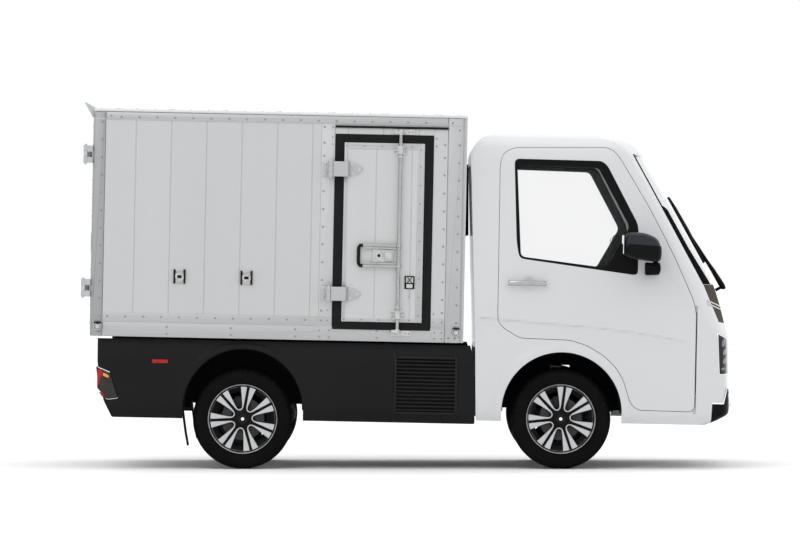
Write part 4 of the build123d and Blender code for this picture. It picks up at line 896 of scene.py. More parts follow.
def build_side_door():
    """Side cargo door with hinges, latch, key catch, handle and lock rod."""
    door = Geo("door", "rivet", "alloy", "zinc", "seal", "bright")
    planks(door, -394, 44, 836, 1831, -758, -718, (-219, -19))
    for x0, x1, z0, z1 in ((-402, -380, 828, 1839), (30, 52, 828, 1839), (-380, 30, 828, 850),
            (-380, 30, 1817, 1839)):
        door.box(x0, x1, -758.6, -750, z0, z1, 1.5, 2)
    door.box(12, 30, -758.3, -756, 850, 1817, 0.8, 2)
    door.box(-380, 12, -758.3, -756, 1800, 1817, 0.8, 2)
    door.studs([(31, -758.6, z) for z in (1804, 1709, 1603, 1499, 1392, 1288, 1182, 1076, 972, 868)], r=4.5,
        h=2.6)
    door.studs([(x, -758.6, z) for x in (-389, -289, -190, -20) for z in (1820, 840)], r=4.5, h=2.6)
    hinge = Geo("alloy", "zinc")
    for low, high in HINGE_BANDS:
        strap(hinge, low, high)
    hinge.put("side_door_straps", "side_door", (), "hinge_steel")
    for z in (870, 1801):
        bearing(door, SIDE_ROD[0], SIDE_FACE, 38, z, "y")
    house = fillet([(-232, 1170), (-226, 1164), (-168, 1164), (-160, 1172), (-120, 1172), (-112, 1180),
        (-112, 1228), (-120, 1236), (-160, 1236), (-168, 1242), (-226, 1242), (-232, 1236)], 5)
    door.prism(house, -758, -768, "y", 2, 3)
    boss = [(-196 + 22 * c, 1203 + 30 * s) for c, s in round_points(0, 0, 1, 8, 0.39)]
    door.prism(fillet(boss, 4), -768, -780, "y", 2.5, 3)
    door.box(-166, -118, -768, -777, 1180, 1226, 4, 2)
    door.box(-160, -124, -777, -779, 1186, 1220, 1.5, 3)
    door.lathe([(-780, 9), (-781, 8)], (-196, 0, 1203), "y", 4, 20)
    door.box(-49, 8, -758, -763, 1018, 1092, 2, 4)
    door.box(-42, 1, -763, -775, 1052, 1086, 3, 5)
    door.box(-38, -3, -763, -770, 1024, 1046, 2, 3)
    for xa, xb in ((-32, -9), (-9, -32)):
        door.tube([(xa, -776, 1084), (-20, -779, 1068), (xb, -776, 1054)], 2.4, 4, 8)
    door.tube([(-20, -765, 1030), (-21, -762.5, 1010), (-22, -762, 976)], 1.3, 3, 8)
    door.lathe([(965, 1.5), (967, 4), (971, 5), (975, 4), (977, 1.5)], (-22, -762.5, 0), "z", 3, 14)
    door.put("side_door_panel", "side_door", ["side_door"], "door_panel")

    handle = Geo("bright", "seal")
    loop(handle, *SIDE_ROD, 1137, 1268, 226)
    handle.put("side_handle_loop", "side_lock", ["side_lock_handle"], "handle_alloy")
    lock_bar(*SIDE_ROD, 764, 1914)


def loop(geo, x, y, z0, z1, reach, turn=None):
    """Twin-rail lock handle with a rubber grip, reaching towards -X from a rod at (x, y)."""
    start = len(geo.v)
    for z in (z0 + 7, z1 - 7):
        geo.box(-reach + 22, -10, -6, 6, z - 6, z + 6, 2)
        geo.tube([(-reach + 26, -1, z), (-reach + 8, -1, z)], 6.5, 0, 12)
        geo.lathe([(z - 10, 13), (z - 8, 15.5), (z + 8, 15.5), (z + 10, 13)], (0, 0, 0), "z", 0, 28)
    geo.box(-reach + 30, -14, 1, 5, z0 + 17, z0 + 27, 1.5)
    geo.box(-reach + 30, -14, 1, 5, z1 - 27, z1 - 17, 1.5)
    grip = [(-reach + 24, 0, z0 + 7), (-reach + 8, 0, z0 + 9), (-reach + 1, 0, z0 + 20), (-reach, 0, z0 + 34),
        (-reach, 0, z1 - 34), (-reach + 1, 0, z1 - 20), (-reach + 8, 0, z1 - 9), (-reach + 24, 0, z1 - 7)]
    geo.tube(grip, [9, 9.6, 10, 10, 10, 10, 9.6, 9], 1, 16)
    for i in range(start, len(geo.v)):
        px, py, pz = geo.v[i]
        if turn:
            px, py = turn(px, py)
        geo.v[i] = (px + x, py + y, pz)


def lock_bar(x, y, z0, z1):
    """Lock rod of the side door with forged end cams."""
    geo = Geo("bright", "zinc")
    geo.lathe([(z0, 8), (z0 + 2, 10), (z1 - 2, 10), (z1, 8)], (x, y, 0), "z", 0, 28)
    cam = fillet([(-34, -6), (-28, -9), (0, -9), (0, 3), (-28, 3), (-34, 0)], 3)
    for z in (z0 + 14, z1 - 14):
        geo.lathe([(z - 14, 11), (z - 12, 12.8), (z + 12, 12.8), (z + 14, 11)], (x, y, 0), "z", 1, 28)
        geo.prism([(x + u, y + v) for u, v in cam], z - 8, z + 8, "z", 1.5, 1)
    for z in (z0 + 150, z1 - 150):
        geo.lathe([(z - 5, 11), (z - 4, 13), (z + 4, 13), (z + 5, 11)], (x, y, 0), "z", 1, 28)
    geo.put("side_lock_bar", "side_lock", ["side_lock_rod"], "rod_steel")


def build_rear():
    """Rear cargo doors with hinges, latch boxes and handles."""
    for side, mirror in SIDES:
        door = Geo("door", "rivet", "alloy", "zinc", "seal", "bright")
        planks(door, -691, -7, 786, 1917, -1824, -1788, (-600, -400, -200), "x")
        for y0, y1, z0, z1 in ((-697, -675, 778, 1925), (-25, -3, 778, 1925), (-675, -25, 778, 800),
                (-675, -25, 1903, 1925)):
            door.box(-1824.6, -1800, y0, y1, z0, z1, 1.6, 2)
        door.box(-1823, -1792, -3.4, -1.2, 780, 1923, 0.8, 4)
        door.studs([(-1824.6, y, 790 + 101 * k) for k in range(12) for y in (-686, -14)], "x", r=4.5, h=2.6)
        for z in (860, 1820):
            bearing(door, REAR_ROD[1], REAR_FACE, 36, z, "x")
        door.box(-1824, -1834, -212, -102, 1206, 1284, 5, 3)
        door.box(-1834, -1842, -190, -120, 1222, 1268, 4, 2)
        door.box(-1824, -1830, -248, -194, 1020, 1102, 2, 4)
        door.box(-1830, -1838, -240, -202, 1060, 1096, 3, 5)
        for low, high in REAR_BANDS:
            mid, third = (low + high) / 2, (high - low) / 3
            section = [(-1867, -767), (-1867, -712), (-1831, -690), (-1831, -600), (-1824, -600),
                (-1824, -696), (-1860, -716), (-1860, -767)]
            door.prism(section, low + third, high - third, "z", 1, 3)
            leafy = fillet([(-690, low + 4), (-600, low + 4), (-528, mid - 20), (-518, mid), (-528, mid + 20),
                (-600, high - 4), (-690, high - 4)], 12)
            door.prism(leafy, -1824, -1830.5, "x", 1.6, 3)
            door.lathe([(low + third, 12), (high - third, 12)], (-1862, -767, 0), "z", 3, 26)
            door.bolts([(-1830, -660, mid + 28), (-1830, -660, mid - 28), (-1830, -610, mid),
                (-1830, -556, mid)], "x", -1, 7, 5)
        door.put(f"rear_door_panel_{side}", f"rear_door_{side}", [f"rear_door_{side}"], "door_panel",
            mirror=mirror)
        bar = Geo("bright", "seal")
        loop(bar, *REAR_ROD, 1180, 1311, 190, lambda px, py: (-py, px))
        bar.put(f"rear_handle_loop_{side}", f"rear_lock_{side}", [f"rear_handle_{side}"], "handle_alloy",
            mirror=mirror)


def build_hardware():
    """Hinge plates on the box, keepers, hold-back catches and lashing rings."""
    plates = Geo("alloy", "zinc")
    for low, high in HINGE_BANDS:
        plates.box(-521, -462, -755, -760.5, low, high, 2)
        third = (high - low) / 3
        for z0, z1 in ((low, low + third - 0.5), (high - third + 0.5, high)):
            plates.lathe([(z0, 13), (z0 + 1, 14), (z1 - 1, 14), (z1, 13)], (*SIDE_PIN, 0), "z", 0, 28)
            plates.box(-489, -465, -758, -788, z0, z1, 2)
        plates.lathe([(low - 9, 4), (low - 7, 7.5), (low, 7.5), (high, 7.5), (high + 5, 7.5), (high + 7, 4)],
            (*SIDE_PIN, 0), "z", 1, 20)
        plates.bolts([(-508, -760.5, low + 18), (-508, -760.5, high - 18)], "y", -1, 6, 4)
    for sign in (-1, 1):
        for low, high in REAR_BANDS:
            third = (high - low) / 3
            x, y = REAR_PIN[0], REAR_PIN[1] * sign
            plates.box(-1826, -1820, 755 * sign, 715 * sign, low, high, 1.5)
            for z0, z1 in ((low, low + third - 0.5), (high - third + 0.5, high)):
                plates.lathe([(z0, 11), (z0 + 1, 12), (z1 - 1, 12), (z1, 11)], (x, y, 0), "z", 0, 26)
                plates.prism([(-1860, 775 * sign), (-1822, 775 * sign), (-1822, 740 * sign),
                    (-1832, 740 * sign), (-1860, 760 * sign)], z0, z1, "z", 1)
            plates.lathe([(low - 8, 4), (low - 6, 7), (high + 6, 7), (high + 8, 4)], (x, y, 0), "z", 1, 20)
    plates.put("hinge_plates", "truck", ["hinge_brackets"], "hinge_steel")

    keep = Geo("zinc", "seal", "bright")
    for z0, z1, bolts in ((1889, 1918, 1903), (752, 782, 767)):
        keep.prism(fillet([(-124, z0 + 4), (-116, z0), (-14, z0), (-6, z0 + 4), (-6, z1 - 4), (-14, z1),
            (-116, z1), (-124, z1 - 4)], 4), -753, -762, "y", 2)
        keep.box(-110, -100, -762, -772, z0 + 2, z1 - 2, 2)
        keep.box(-64, -54, -762, -768, z0 + 2, z1 - 2, 2)
        keep.bolts([(-115, -762, bolts), (-18, -762, bolts), (-38, -762, bolts)], "y", -1, 5, 4, 2)
    for sign in (-1, 1):
        for z0, z1 in ((1934, 1948), (754, 770)):
            keep.box(-1820, -1829, sign * 96, sign * 28, z0, z1, 2)
        spots = [(-941, 1063, -1), (-1319, 1063, -1)] if sign < 0 else [(-1319, 1063, 1)]
        for x, z, s in spots:
            for dx in (-29, 29):
                keep.box(x + dx - 5, x + dx + 5, s * 753, s * 766, z - 40, z + 40, 2, 1)
            keep.box(x - 24, x + 24, s * 753, s * 756, z - 38, z + 40, 1, 0)
            keep.box(x - 25, x + 25, s * 753, s * 760, z - 38, z - 24, 2, 2)
            keep.box(x - 25, x + 25, s * 756, s * 763, z - 14, z + 12, 2, 0)
            keep.box(x - 13, x + 13, s * 763, s * 765, z - 9, z + 8, 1.5, 1)
            keep.box(x - 22, x + 22, s * 753, s * 757, z + 18, z + 38, 1.5, 2)
        for x, z in ((-1776, 772), (248, 777)):
            turns = [math.pi / 12 * k for k in range(25)]
            hoop = [(x + 21 * math.cos(a), sign * 761, z + 21 * math.sin(a)) for a in turns]
            keep.tube(hoop, 4.6, 2, 10, caps=False)
            keep.lathe([(sign * 755, 14), (sign * 759, 14), (sign * 760, 12)], (x, 0, z), "y", 0, 24)
            keep.box(x - 20, x + 20, sign * 755, sign * 766, z + 16, z + 27, 3, 1)
    keep.put("keepers_and_catches", "truck", ["door_keepers"], "keeper_steel")


build_walls()
build_rails()
build_roof()
build_seal()
build_side_door()
build_rear()
build_hardware()


# ------------------------------------------------------------------ wheels, drawn upright
SPOKES = 7                                          # pairs of spokes round a rim
CUT_DEPTH = 5.5                                     # of the shoulder cuts in the tread
WINDOW = ((57, 0), (59, 8), (66, 14), (86, 20), (120, 27), (161, 34.5), (185, 38.5))
BAND = ((49, 0), (51.5, 9), (58, 17), (66, 23), (86, 32.8), (120, 49.3), (161, 69), (185, 74))


def along(points, t):
    """Point at a share of a polyline's index range, smoothly."""
    k = t * (len(points) - 1)
    i = min(int(k), len(points) - 2)
    f = k - i
    p = [points[max(i - 1, 0)], points[i], points[i + 1], points[min(i + 2, len(points) - 1)]]
    if i == 0:
        p[0] = (p[2][0], -p[2][1])
    return tuple(0.5 * (2 * p[1][q] + (p[2][q] - p[0][q]) * f
                        + (2 * p[0][q] - 5 * p[1][q] + 4 * p[2][q] - p[3][q]) * f * f
                        + (3 * p[1][q] - p[0][q] - 3 * p[2][q] + p[3][q]) * f ** 3) for q in (0, 1))


def dish(r):
    """How far the wheel face stands outwards at a radius."""
    return 46.0 + 12.0 * (min(r, 190.0) / 184.0) ** 2


def outwards(profile):
    """Profile of a right wheel, given by distance outwards from its middle plane."""
    return [(-WHEEL_Y - a, r) for a, r in profile]


def make_tyre(x, side, end):
    geo = Geo("tyre")
    flank = [(56, 182), (64, 184), (68, 190), (71, 196), (70, 200), (72, 203), (76, 213), (80.5, 228),
        (82.5, 240), (82.2, 250), (80.6, 256), (81.2, 258), (78.6, 262), (76.5, 266), (72, 271), (66, 275.5),
        (60, 278.4)]
    crown = [(46, 280.6), (34, 281.9), (32, 282), (31, 275), (25, 275), (24, 282.6), (5, 283), (4, 276),
        (-4, 276), (-5, 283), (-24, 282.6), (-25, 275), (-31, 275), (-32, 282), (-34, 281.9), (-46, 280.6)]
    outside = flank + crown + [(-a, r) for a, r in flank[::-1]]
    inside = [(-52, 181), (-60, 206), (-70, 236), (-62, 262), (62, 262), (70, 236), (60, 206), (52, 181)]

    def shape(a, r, k):
        if r > 263 and 30 < abs(-WHEEL_Y - a) < 79 and k % 5 == 0:
            return r - CUT_DEPTH
        return r
    geo.lathe(outwards(outside + inside), (x, 0, TYRE_R), "y", 0, 240, True, shape)
    geo.put(f"tyre_{end}_{side}_rubber", f"wheel_{end}_{side}", [f"tyre_{end}_{side}"], "tyre_rubber", False,
        side == "left", 50)


def make_rim(x, side, end, lead):
    body = f"wheel_{end}_{side}"
    hub_place = (x, 0, TYRE_R)

    def at(r_u, v, depth, turn):
        c, s = math.cos(turn), math.sin(turn)
        return (x + r_u * s + v * c, -WHEEL_Y - depth, TYRE_R + r_u * c - v * s)
    barrel = Geo("barrel", "wheel_dark", "iron")
    profile = [(-76, 196), (-71, 197), (-70, 178), (-40, 177), (-30, 160), (10, 160), (30, 180), (50, 188),
        (50, 182), (34, 172), (12, 153), (-32, 153), (-44, 169), (-76, 171)]
    barrel.lathe(outwards(profile), hub_place, "y", 0, 96, True)
    disc = ((8, 118), (14, 122), (18, 122), (20, 118), (20, 60), (8, 60))
    barrel.lathe(outwards(disc), hub_place, "y", 2, 72, True)
    barrel.box(x - 45, x + 45, -WHEEL_Y + 6, -WHEEL_Y - 34, TYRE_R + 62, TYRE_R + 128, 8)
    barrel.lathe(outwards([(-20, 66), (42, 66), (46, 60)]), hub_place, "y", 1, 48)
    barrel.put(f"rim_{end}_{side}_barrel", body, (), "rim_alloy", False, side == "left")

    # dark disc with seven windows and seven slots
    radii = [20, 40, 52, 64, 80, 100, 120, 140, 160, 176, 186]
    rings = [[at(r, 0, dish(r) - 4, 2 * math.pi * k / 98) for k in range(98)] for r in radii]
    back = [[at(r, 0, dish(r) - 16, 2 * math.pi * k / 98) for k in range(98)] for r in radii[::-1]]
    web = Geo()
    web.rings(rings + back + rings[:1], 0, False)
    web = temp(web, 1e-6)
    for k in range(SPOKES):
        turn = lead + 2 * math.pi * (k + 0.5) / SPOKES
        half = [along(WINDOW, i / 18) for i in range(19)]
        outline = [(u, -v) for u, v in half[::-1]] + list(half[1:])
        tool = Geo().rings([[at(u, v, a, turn) for u, v in outline] for a in (20, 70)])
        carve(web, temp(tool))
        slot_turn = lead + 2 * math.pi * k / SPOKES
        gap = fillet([(64, -5.4), (180, -6.4), (180, 6.4), (64, 5.4)], 5, 3)
        floor = [at(u, v, dish(u) - 9, slot_turn) for u, v in gap]
        carve(web, temp(Geo().rings([floor, [at(u, v, 80, slot_turn) for u, v in gap]])))
    if side == "left":
        web = flipped(web)
    settle(web, f"rim_{end}_{side}_web", ["wheel_dark"], body, (), "rim_alloy", raked=False)

    face = Geo("cut_" + end, "wheel_dark", "chrome", "barrel")
    count = 44
    for k in range(SPOKES):
        turn = lead + 2 * math.pi * (k + 0.5) / SPOKES
        loops = []
        for inset, lower in ((0.0, 8.0), (0.0, 1.4), (1.5, 0.0)):
            inner, outer = [], []
            for i in range(-count // 2, count // 2 + 1):
                t = abs(i) / (count / 2)
                s = 1 if i >= 0 else -1
                for points, store, push in ((WINDOW, inner, 1), (BAND, outer, -1)):
                    u, v = along(points, t)
                    u2, v2 = along(points, min(1.0, t + 0.02))
                    u1, v1 = along(points, max(0.0, t - 0.02))
                    n = Vector((v2 - v1, -(u2 - u1)))
                    n = n.normalized() if n.length > 1e-6 else Vector((-1.0, 0))
                    q = (u - n.x * inset * push, v - n.y * inset * push)
                    store.append(at(q[0], q[1] * s, dish(math.hypot(*q)) - lower + 1.0, turn))
            loops.append((inner, outer))
        rings = [loops[0][1], loops[1][1], loops[2][1], loops[2][0], loops[1][0], loops[0][0]]
        n = len(rings[0])
        verts = [p for ring in rings for p in ring]
        faces = []
        for j in range(6):
            for i in range(n - 1):
                a, b = j * n + i, ((j + 1) % 6) * n + i
                faces.append((a, a + 1, b + 1, b))
        faces.append(tuple(j * n for j in range(6)))
        faces.append(tuple(j * n + n - 1 for j in range(5, -1, -1)))
        face.add(verts, faces)
    lip = [(dish(186) - 6, 182), (dish(186) + 1.5, 183), (dish(186) + 3, 185), (68, 190), (75, 193),
        (76.5, 195), (75, 196.4), (70, 194), (58, 182)]
    face.lathe(outwards(lip), hub_place, "y", 0, 112, True)
    hub = [(40, 50), (dish(40) - 2, 50), (dish(40) + 1, 46), (dish(40) + 5, 40), (dish(40) + 8, 33),
        (dish(40) + 8.5, 30)]
    face.lathe(outwards(hub), hub_place, "y", 1, 56)
    cap = [(50, 25), (58, 25), (60.0, 24), (60.6, 22.5), (60, 21), (58.0, 20)]
    face.lathe(outwards(cap), hub_place, "y", 3, 48)
    face.lathe(outwards([(52, 20), (57.4, 19), (59.4, 10), (59.9, 3)]), hub_place, "y", 1, 40)
    face.lathe(outwards([(56, 10), (60.4, 9.5), (61.2, 6), (61.4, 2)]), hub_place, "y", 2, 32)
    nuts = round_points(x, TYRE_R, 40, 5, lead)
    face.bolts([(u, -WHEEL_Y - dish(40) - 2.5, w) for u, w in nuts], "y", -1, 6, 3, 1)
    face.put(f"rim_{end}_{side}_face", body, [f"rim_{end}_{side}"], "rim_alloy", False, side == "left", 32)


# ------------------------------------------------------------------ skirts, lamps, grilles
SKIRT = ((700, 718), (668, 727), (640, 736), (612, 743), (585, 745), (470, 746), (360, 745), (333, 743),
    (300, 735), (268, 724))


def skirt_face(x, z):
    """Outer half width of the skirt with its crease and rear arch flare."""
    for (z0, y0), (z1, y1) in zip(SKIRT, SKIRT[1:]):
        if z >= z1:
            y = y0 + (y1 - y0) * (z0 - min(z, z0)) / (z0 - z1)
            break
    else:
        y = SKIRT[-1][1]
    r = math.hypot(x - R_ARCH[0], z - R_ARCH[1]) if z > R_ARCH[1] else abs(x - R_ARCH[0])
    return y + 7.0 * smooth((r - 330) / 8) * (1 - smooth((r - 366) / 14))


def build_skirts():
    """Side skirts with arch, grille and lamp openings, and their returns."""
    xs = [-1776 + 11.9 * k for k in range(181)]
    zs = [262 + 444 * k / 46 for k in range(47)]
    rings = []
    for x in xs:
        outer = [(x, -skirt_face(x, z), z) for z in zs]
        inner = [(x, -skirt_face(x, z) + 20 - (14 if z < 280 else 0), z) for z in zs[::-1]]
        rings.append(outer + inner)
    skirt = temp(Geo().rings(rings))
    line = ((-1776, 720), (-1773, 570), (-1735, 356), (-1688, 262), (363, 262), (355, 618), (326, 720))
    carve(skirt, slab(line, -780, -690, 10), "INTERSECT")
    cut_arch(skirt, R_ARCH, -780, -690, 200)
    carve(skirt, block(-101, 265, -780, -690, 308, 642))
    carve(skirt, slab(TAIL_LINE, -780, -690, 14))
    carve(skirt, slab(rect(-1467, -1374, 570, 594), -780, -738, 5))
    for o, side in ((mirrored(skirt), "left"), (skirt, "right")):
        settle(o, f"side_skirt_{side}", ["charcoal"], "truck", ["side_skirts"] if side == "right" else (),
            "charcoal_plastic", angle=32)
    ends = Geo("charcoal")
    for sign in (-1, 1):
        ends.prism([(-1765, 552), (-1762, 700), (-1745, 700), (-1745, 380), (-1752, 380)], sign * 700,
            sign * 600, "y", 3)
        ends.prism([(-1748, 700), (330, 700), (330, 690), (-1748, 690)], sign * 722, sign * 700, "y", 3)
    ends.put("skirt_returns", "truck", (), "charcoal_plastic")


def build_vents():
    vents = Geo("grille")
    for sign in (-1, 1):
        for x0, x1, z0, z1 in ((-100, -82, 309, 641), (246, 264, 309, 641), (-82, 246, 309, 326),
                (-82, 246, 624, 641)):
            vents.box(x0, x1, sign * 744, sign * 730, z0, z1, 3)
        for k in range(14):
            z = 337 + k * 21.2
            slat = fillet([(sign * 743, z - 5), (sign * 743, z + 1), (sign * 728, z + 9), (sign * 725, z + 7),
                (sign * 739, z - 6)], 2, 2)
            vents.prism(slat, -84, 248, "x", 0)
        vents.box(-96, 260, sign * 722, sign * 716, 312, 638, 2)
    vents.put("louvre_grilles", "truck", ["vent_grilles"], "grille_plastic")


def build_rear_end():
    """Tail and side lamps, rear crossbar, arch edges and mud flaps."""
    lamps = Geo("smoke", "amber", "chrome", "red")
    lens = [(max(x, -1773), z) for x, z in grow(fillet(TAIL_LINE, 14, 4), -2.0)]
    for sign in (-1, 1):
        lamps.prism(lens, sign * 706, sign * 742, "y", 7, 0)
        lamps.prism(fillet([(-1773, 538), (-1745, 524), (-1742, 500), (-1752, 484), (-1764, 440),
            (-1773, 436)], 6), sign * 741, sign * 743.6, "y", 1.2, 3)
        lamps.prism(fillet([(-1740, 512), (-1712, 500), (-1706, 482), (-1740, 494)], 4), sign * 741,
            sign * 743.2, "y", 1, 1)
        lamps.prism(fillet([(-1762, 400), (-1738, 372), (-1722, 368), (-1744, 402)], 4), sign * 741,
            sign * 743.2, "y", 1, 3)
        lamps.tube([(-1771, sign * 742, 543), (-1735, sign * 743, 529), (-1703, sign * 743.5, 515)], 3.0, 2,
            8)
        lamps.prism(fillet(rect(-1466, -1375, 571, 593), 5), sign * 740, sign * 748, "y", 2.5, 3)
    lamps.put("tail_and_side_lamps", "truck", ["rear_lamps"], "lamp_red")
    rear = Geo("bumper", "trim", "rivet")
    rear.prism(fillet([(-1772, 430), (-1768, 420), (-1752, 420), (-1748, 430), (-1748, 530), (-1752, 540),
        (-1764, 540), (-1772, 532)], 6), -596, 596, "y", 6)
    rear.box(-1777, -1772, -170, 170, 440, 520, 2, 1)
    for sign in (-1, 1):
        rear.box(-1748, -1701, sign * 330, sign * 370, 440, 495, 4)
    rear.bolts([(-1772, y, 480) for y in (-350, 350, -560, 560)], "x", -1, 9, 6, 2)
    rear.put("rear_crossbar", "truck", ["rear_bumper"], "bumper_steel")
    arches = Geo("liner")
    for cx, cz in (F_ARCH, R_ARCH):
        turns = [math.pi * k / 40 for k in range(41)]
        ring = [(cx + (ARCH_R - d) * math.cos(a), cz + (ARCH_R - d) * math.sin(a)) for d,
            way in ((0.8, turns), (6.0, turns[::-1])) for a in way]
        for sign in (-1, 1):
            arches.prism(ring, sign * 730, sign * 600, "y")
    arches.put("arch_edges", "truck", (), "liner_plastic")
    flaps = Geo("flap", "rivet")
    for sign in (-1, 1):
        flaps.prism([(-1297, 345), (-1290, 345), (-1286, 300), (-1268, 180), (-1254, 108), (-1260, 107),
            (-1275, 180), (-1293, 300)], sign * 712, sign * 548, "y", 1.5)
        flaps.box(-1290, -1285, sign * 710, sign * 550, 325, 345, 1.5)
    flaps.put("mud_flap_sheets", "truck", ["mud_flaps"], "flap_rubber")


# ------------------------------------------------------------------ cab fittings
SEATS = ((-610, -20), (20, 610))                    # sides (y) of the right and the left seat
MIRROR_C, MIRROR_Y, MIRROR_W = 1284, 802, 180       # middle (x and z), inner end, width of a mirror head


def pod(geo, outline, stations):
    """Rounded mirror form: scaled outlines at shares of its width."""
    geo.rings([[(MIRROR_C + (u - MIRROR_C) * scale, -(MIRROR_Y + MIRROR_W * share),
        MIRROR_C + (v - MIRROR_C) * scale) for u, v in outline] for share, scale in stations])


def build_door_fittings():
    """Door pulls, mirrors, linings and the insides of the headlights, side by side."""
    for side, mirror in SIDES:
        grip = Geo("bright")
        path = [(540, -749, 1064), (538, -766, 1064), (552, -773, 1064), (640, -775, 1064), (735, -773, 1064),
            (752, -766, 1064), (754, -750, 1064)]
        grip.tube(path, [11, 12, 13, 13.5, 13, 12, 11], 0, 16, flat=0.55)
        grip.put(f"door_pull_{side}", f"cab_handle_{side}", [f"cab_handle_{side}"], "chrome_trim",
            mirror=mirror)
        rest = Geo("trim", "chrome")
        for x, top in ((754, 1084), (540, 1082)):
            rest.box(x - 11, x + 9, -736, -750, 2128 - top + 8, top - 8, 5, 1)
        rest.put(f"handle_feet_{side}", f"cab_door_{side}", (), "chrome_trim", mirror=mirror)

        head = Geo("mirror", "trim", "mirror_glass")
        outline = fillet([(1192, 1364), (1296, 1362), (1370, 1332), (1393, 1270), (1386, 1197), (1232, 1214),
            (1170, 1240)], 30, 5)
        pod(head, outline, ((0.006, 0.80), (0.05, 0.90), (0.16, 0.97), (0.45, 1.0), (0.8, 0.97), (0.94, 0.90),
            (0.994, 0.80)))
        shell = Geo("trim")
        clip = [(u, min(v, 1300 - (u - 1170) * 0.05)) for u, v in grow(outline, 0.8)]
        pod(shell, clip, ((0.001, 0.82), (0.05, 0.915), (0.16, 0.985), (0.45, 1.012), (0.8, 0.985),
            (0.94, 0.915), (0.999, 0.82)))
        shell.put(f"mirror_base_{side}", f"mirror_{side}", (), "trim_black", mirror=mirror)
        glass = fillet([(-972, 1240), (-812, 1232), (-812, 1345), (-965, 1345)], 16)
        head.prism(glass, 1172, 1176, "x", 0, 2)
        head.put(f"mirror_head_{side}", f"mirror_{side}", [f"mirror_{side}"], "mirror_plastic", mirror=mirror)
        foot = Geo("trim", "dark")
        foot.prism(fillet([(1306, 1122), (1382, 1126), (1391, 1150), (1390, 1172), (1304, 1172)], 12, 4),
            -874, -745, "y", 12)
        foot.prism(fillet([(1302, 1160), (1391, 1160), (1388, 1190), (1303, 1196)], 9, 4), -876, -806, "y",
            12)
        foot.lathe([(1186, 27), (1192, 25), (1200, 9.2), (1226, 9.0)], (1362, -842, 0), "z", 0, 28)
        foot.put(f"mirror_foot_{side}", f"cab_door_{side}", (), "trim_black", mirror=mirror)
        trim = Geo("dark", "trim", "chrome")
        trim.prism(fillet([(540, 1150), (1180, 1066), (1480, 1030), (1540, 900), (1560, 480), (1330, 460),
            (1240, 620), (1120, 740), (960, 790), (620, 800), (545, 880)], 40), -700, -693, "y", 2.5)
        trim.prism(fillet([(800, 960), (1120, 940), (1120, 900), (800, 910)], 16), -695, -664, "y", 8)
        trim.box(1180, 1250, -696, -682, 985, 1012, 5, 2)
        trim.put(f"door_lining_{side}", f"cab_door_{side}", (), "dark_plastic", mirror=mirror)

        lamp = Geo("trim", "lens", "chrome", "bumper")
        for z, r in ((740, 30), (676, 33), (612, 26)):
            lamp.lathe([(1756, r * 0.5), (1760, r * 0.8), (1766, r), (1772, r), (1772, r - 4),
                (1762, r * 0.7)], (0, -640, z), "x", 2, 32)
            lamp.lathe([(1764, r * 0.72), (1770, r * 0.6), (1775, r * 0.3), (1776, 2)], (0, -640, z), "x", 1,
                28)
        for z in (770, 708, 644, 588):
            lamp.box(1742, 1770, -706, -600, z - 3, z + 3, 2, 0)
        lamp.put(f"headlight_inner_{side}", "truck", (), "lamp_clear", mirror=mirror)


def build_wiper():
    """Wiper arm, drawn along the windshield: T points up the glass, N away from it."""
    arm = Geo("trim", "dark")
    T, N = Vector((-0.498, 0, 0.867)), Vector((0.867, 0, 0.498))
    P = Vector((1752, 0, 1042))

    def wp(up, out):
        return tuple(P + T * up + N * out)
    arm.tube([wp(0, 3), wp(0, 52)], 9, 0, 18)
    arm.tube([wp(0, 44), wp(0, 48), wp(0, 60), wp(0, 63)], [16, 20, 19, 14], 0, 24)
    arm.tube([wp(-14, 50), wp(0, 50), wp(40, 48), wp(110, 45), wp(170, 40), wp(300, 33), wp(384, 28)],
        [12, 17, 16, 13, 10, 7, 5], 0, 14)
    arm.tube([wp(172, 26), wp(250, 28), wp(390, 28), wp(530, 27), wp(604, 25)], [4, 8, 10, 8, 4], 1, 10)
    arm.tube([wp(170, 17), wp(390, 17), wp(605, 17)], 2.6, 0, 8)
    arm.tube([wp(172, 22), wp(605, 22)], 3.4, 1, 8)
    arm.put("wiper_arm_and_blade", "wiper", ["wiper"], "wiper_black")


def build_nose():
    """Fog lamps and the blank badge disc."""
    front = Geo("bumper", "chrome", "lens", "trim", "dark")
    for sign in (-1, 1):
        front.lathe([(1790, 30), (1792, 38), (1816, 38), (1820, 36), (1820, 33), (1812, 31)],
            (0, sign * 560, 421), "x", 1, 40)
        front.lathe([(1800, 31), (1813, 30), (1818, 20), (1820, 6)], (0, sign * 560, 421), "x", 2, 36)
    front.lathe([(1819, 45), (1832, 45), (1834, 42), (1834, 4)], (0, 0, 668), "x", 1, 48)
    front.put("fog_lamps_and_badge", "truck", (), "bumper_steel")


def build_dash():
    dash = Geo("dash", "trim", "dark")
    line = fillet([(1392, 800), (1386, 960), (1396, 1036), (1424, 1066), (1590, 1068), (1676, 862),
        (1680, 800)], 26, 5)
    dash.prism(line, -640, 640, "y", 14)
    for y in (-420, -120, 120, 470):
        dash.lathe([(1384, 34), (1380, 36), (1378, 33), (1384, 28)], (0, y, 1000), "x", 1, 32, True)
    dash.box(1378, 1394, -110, 110, 850, 990, 8, 1)
    dash.prism(fillet([(1400, 1060), (1410, 1108), (1470, 1112), (1520, 1064)], 14), 200, 400, "y", 10, 1)
    dash.put("dashboard_moulding", "truck", ["dashboard"], "dash_plastic")


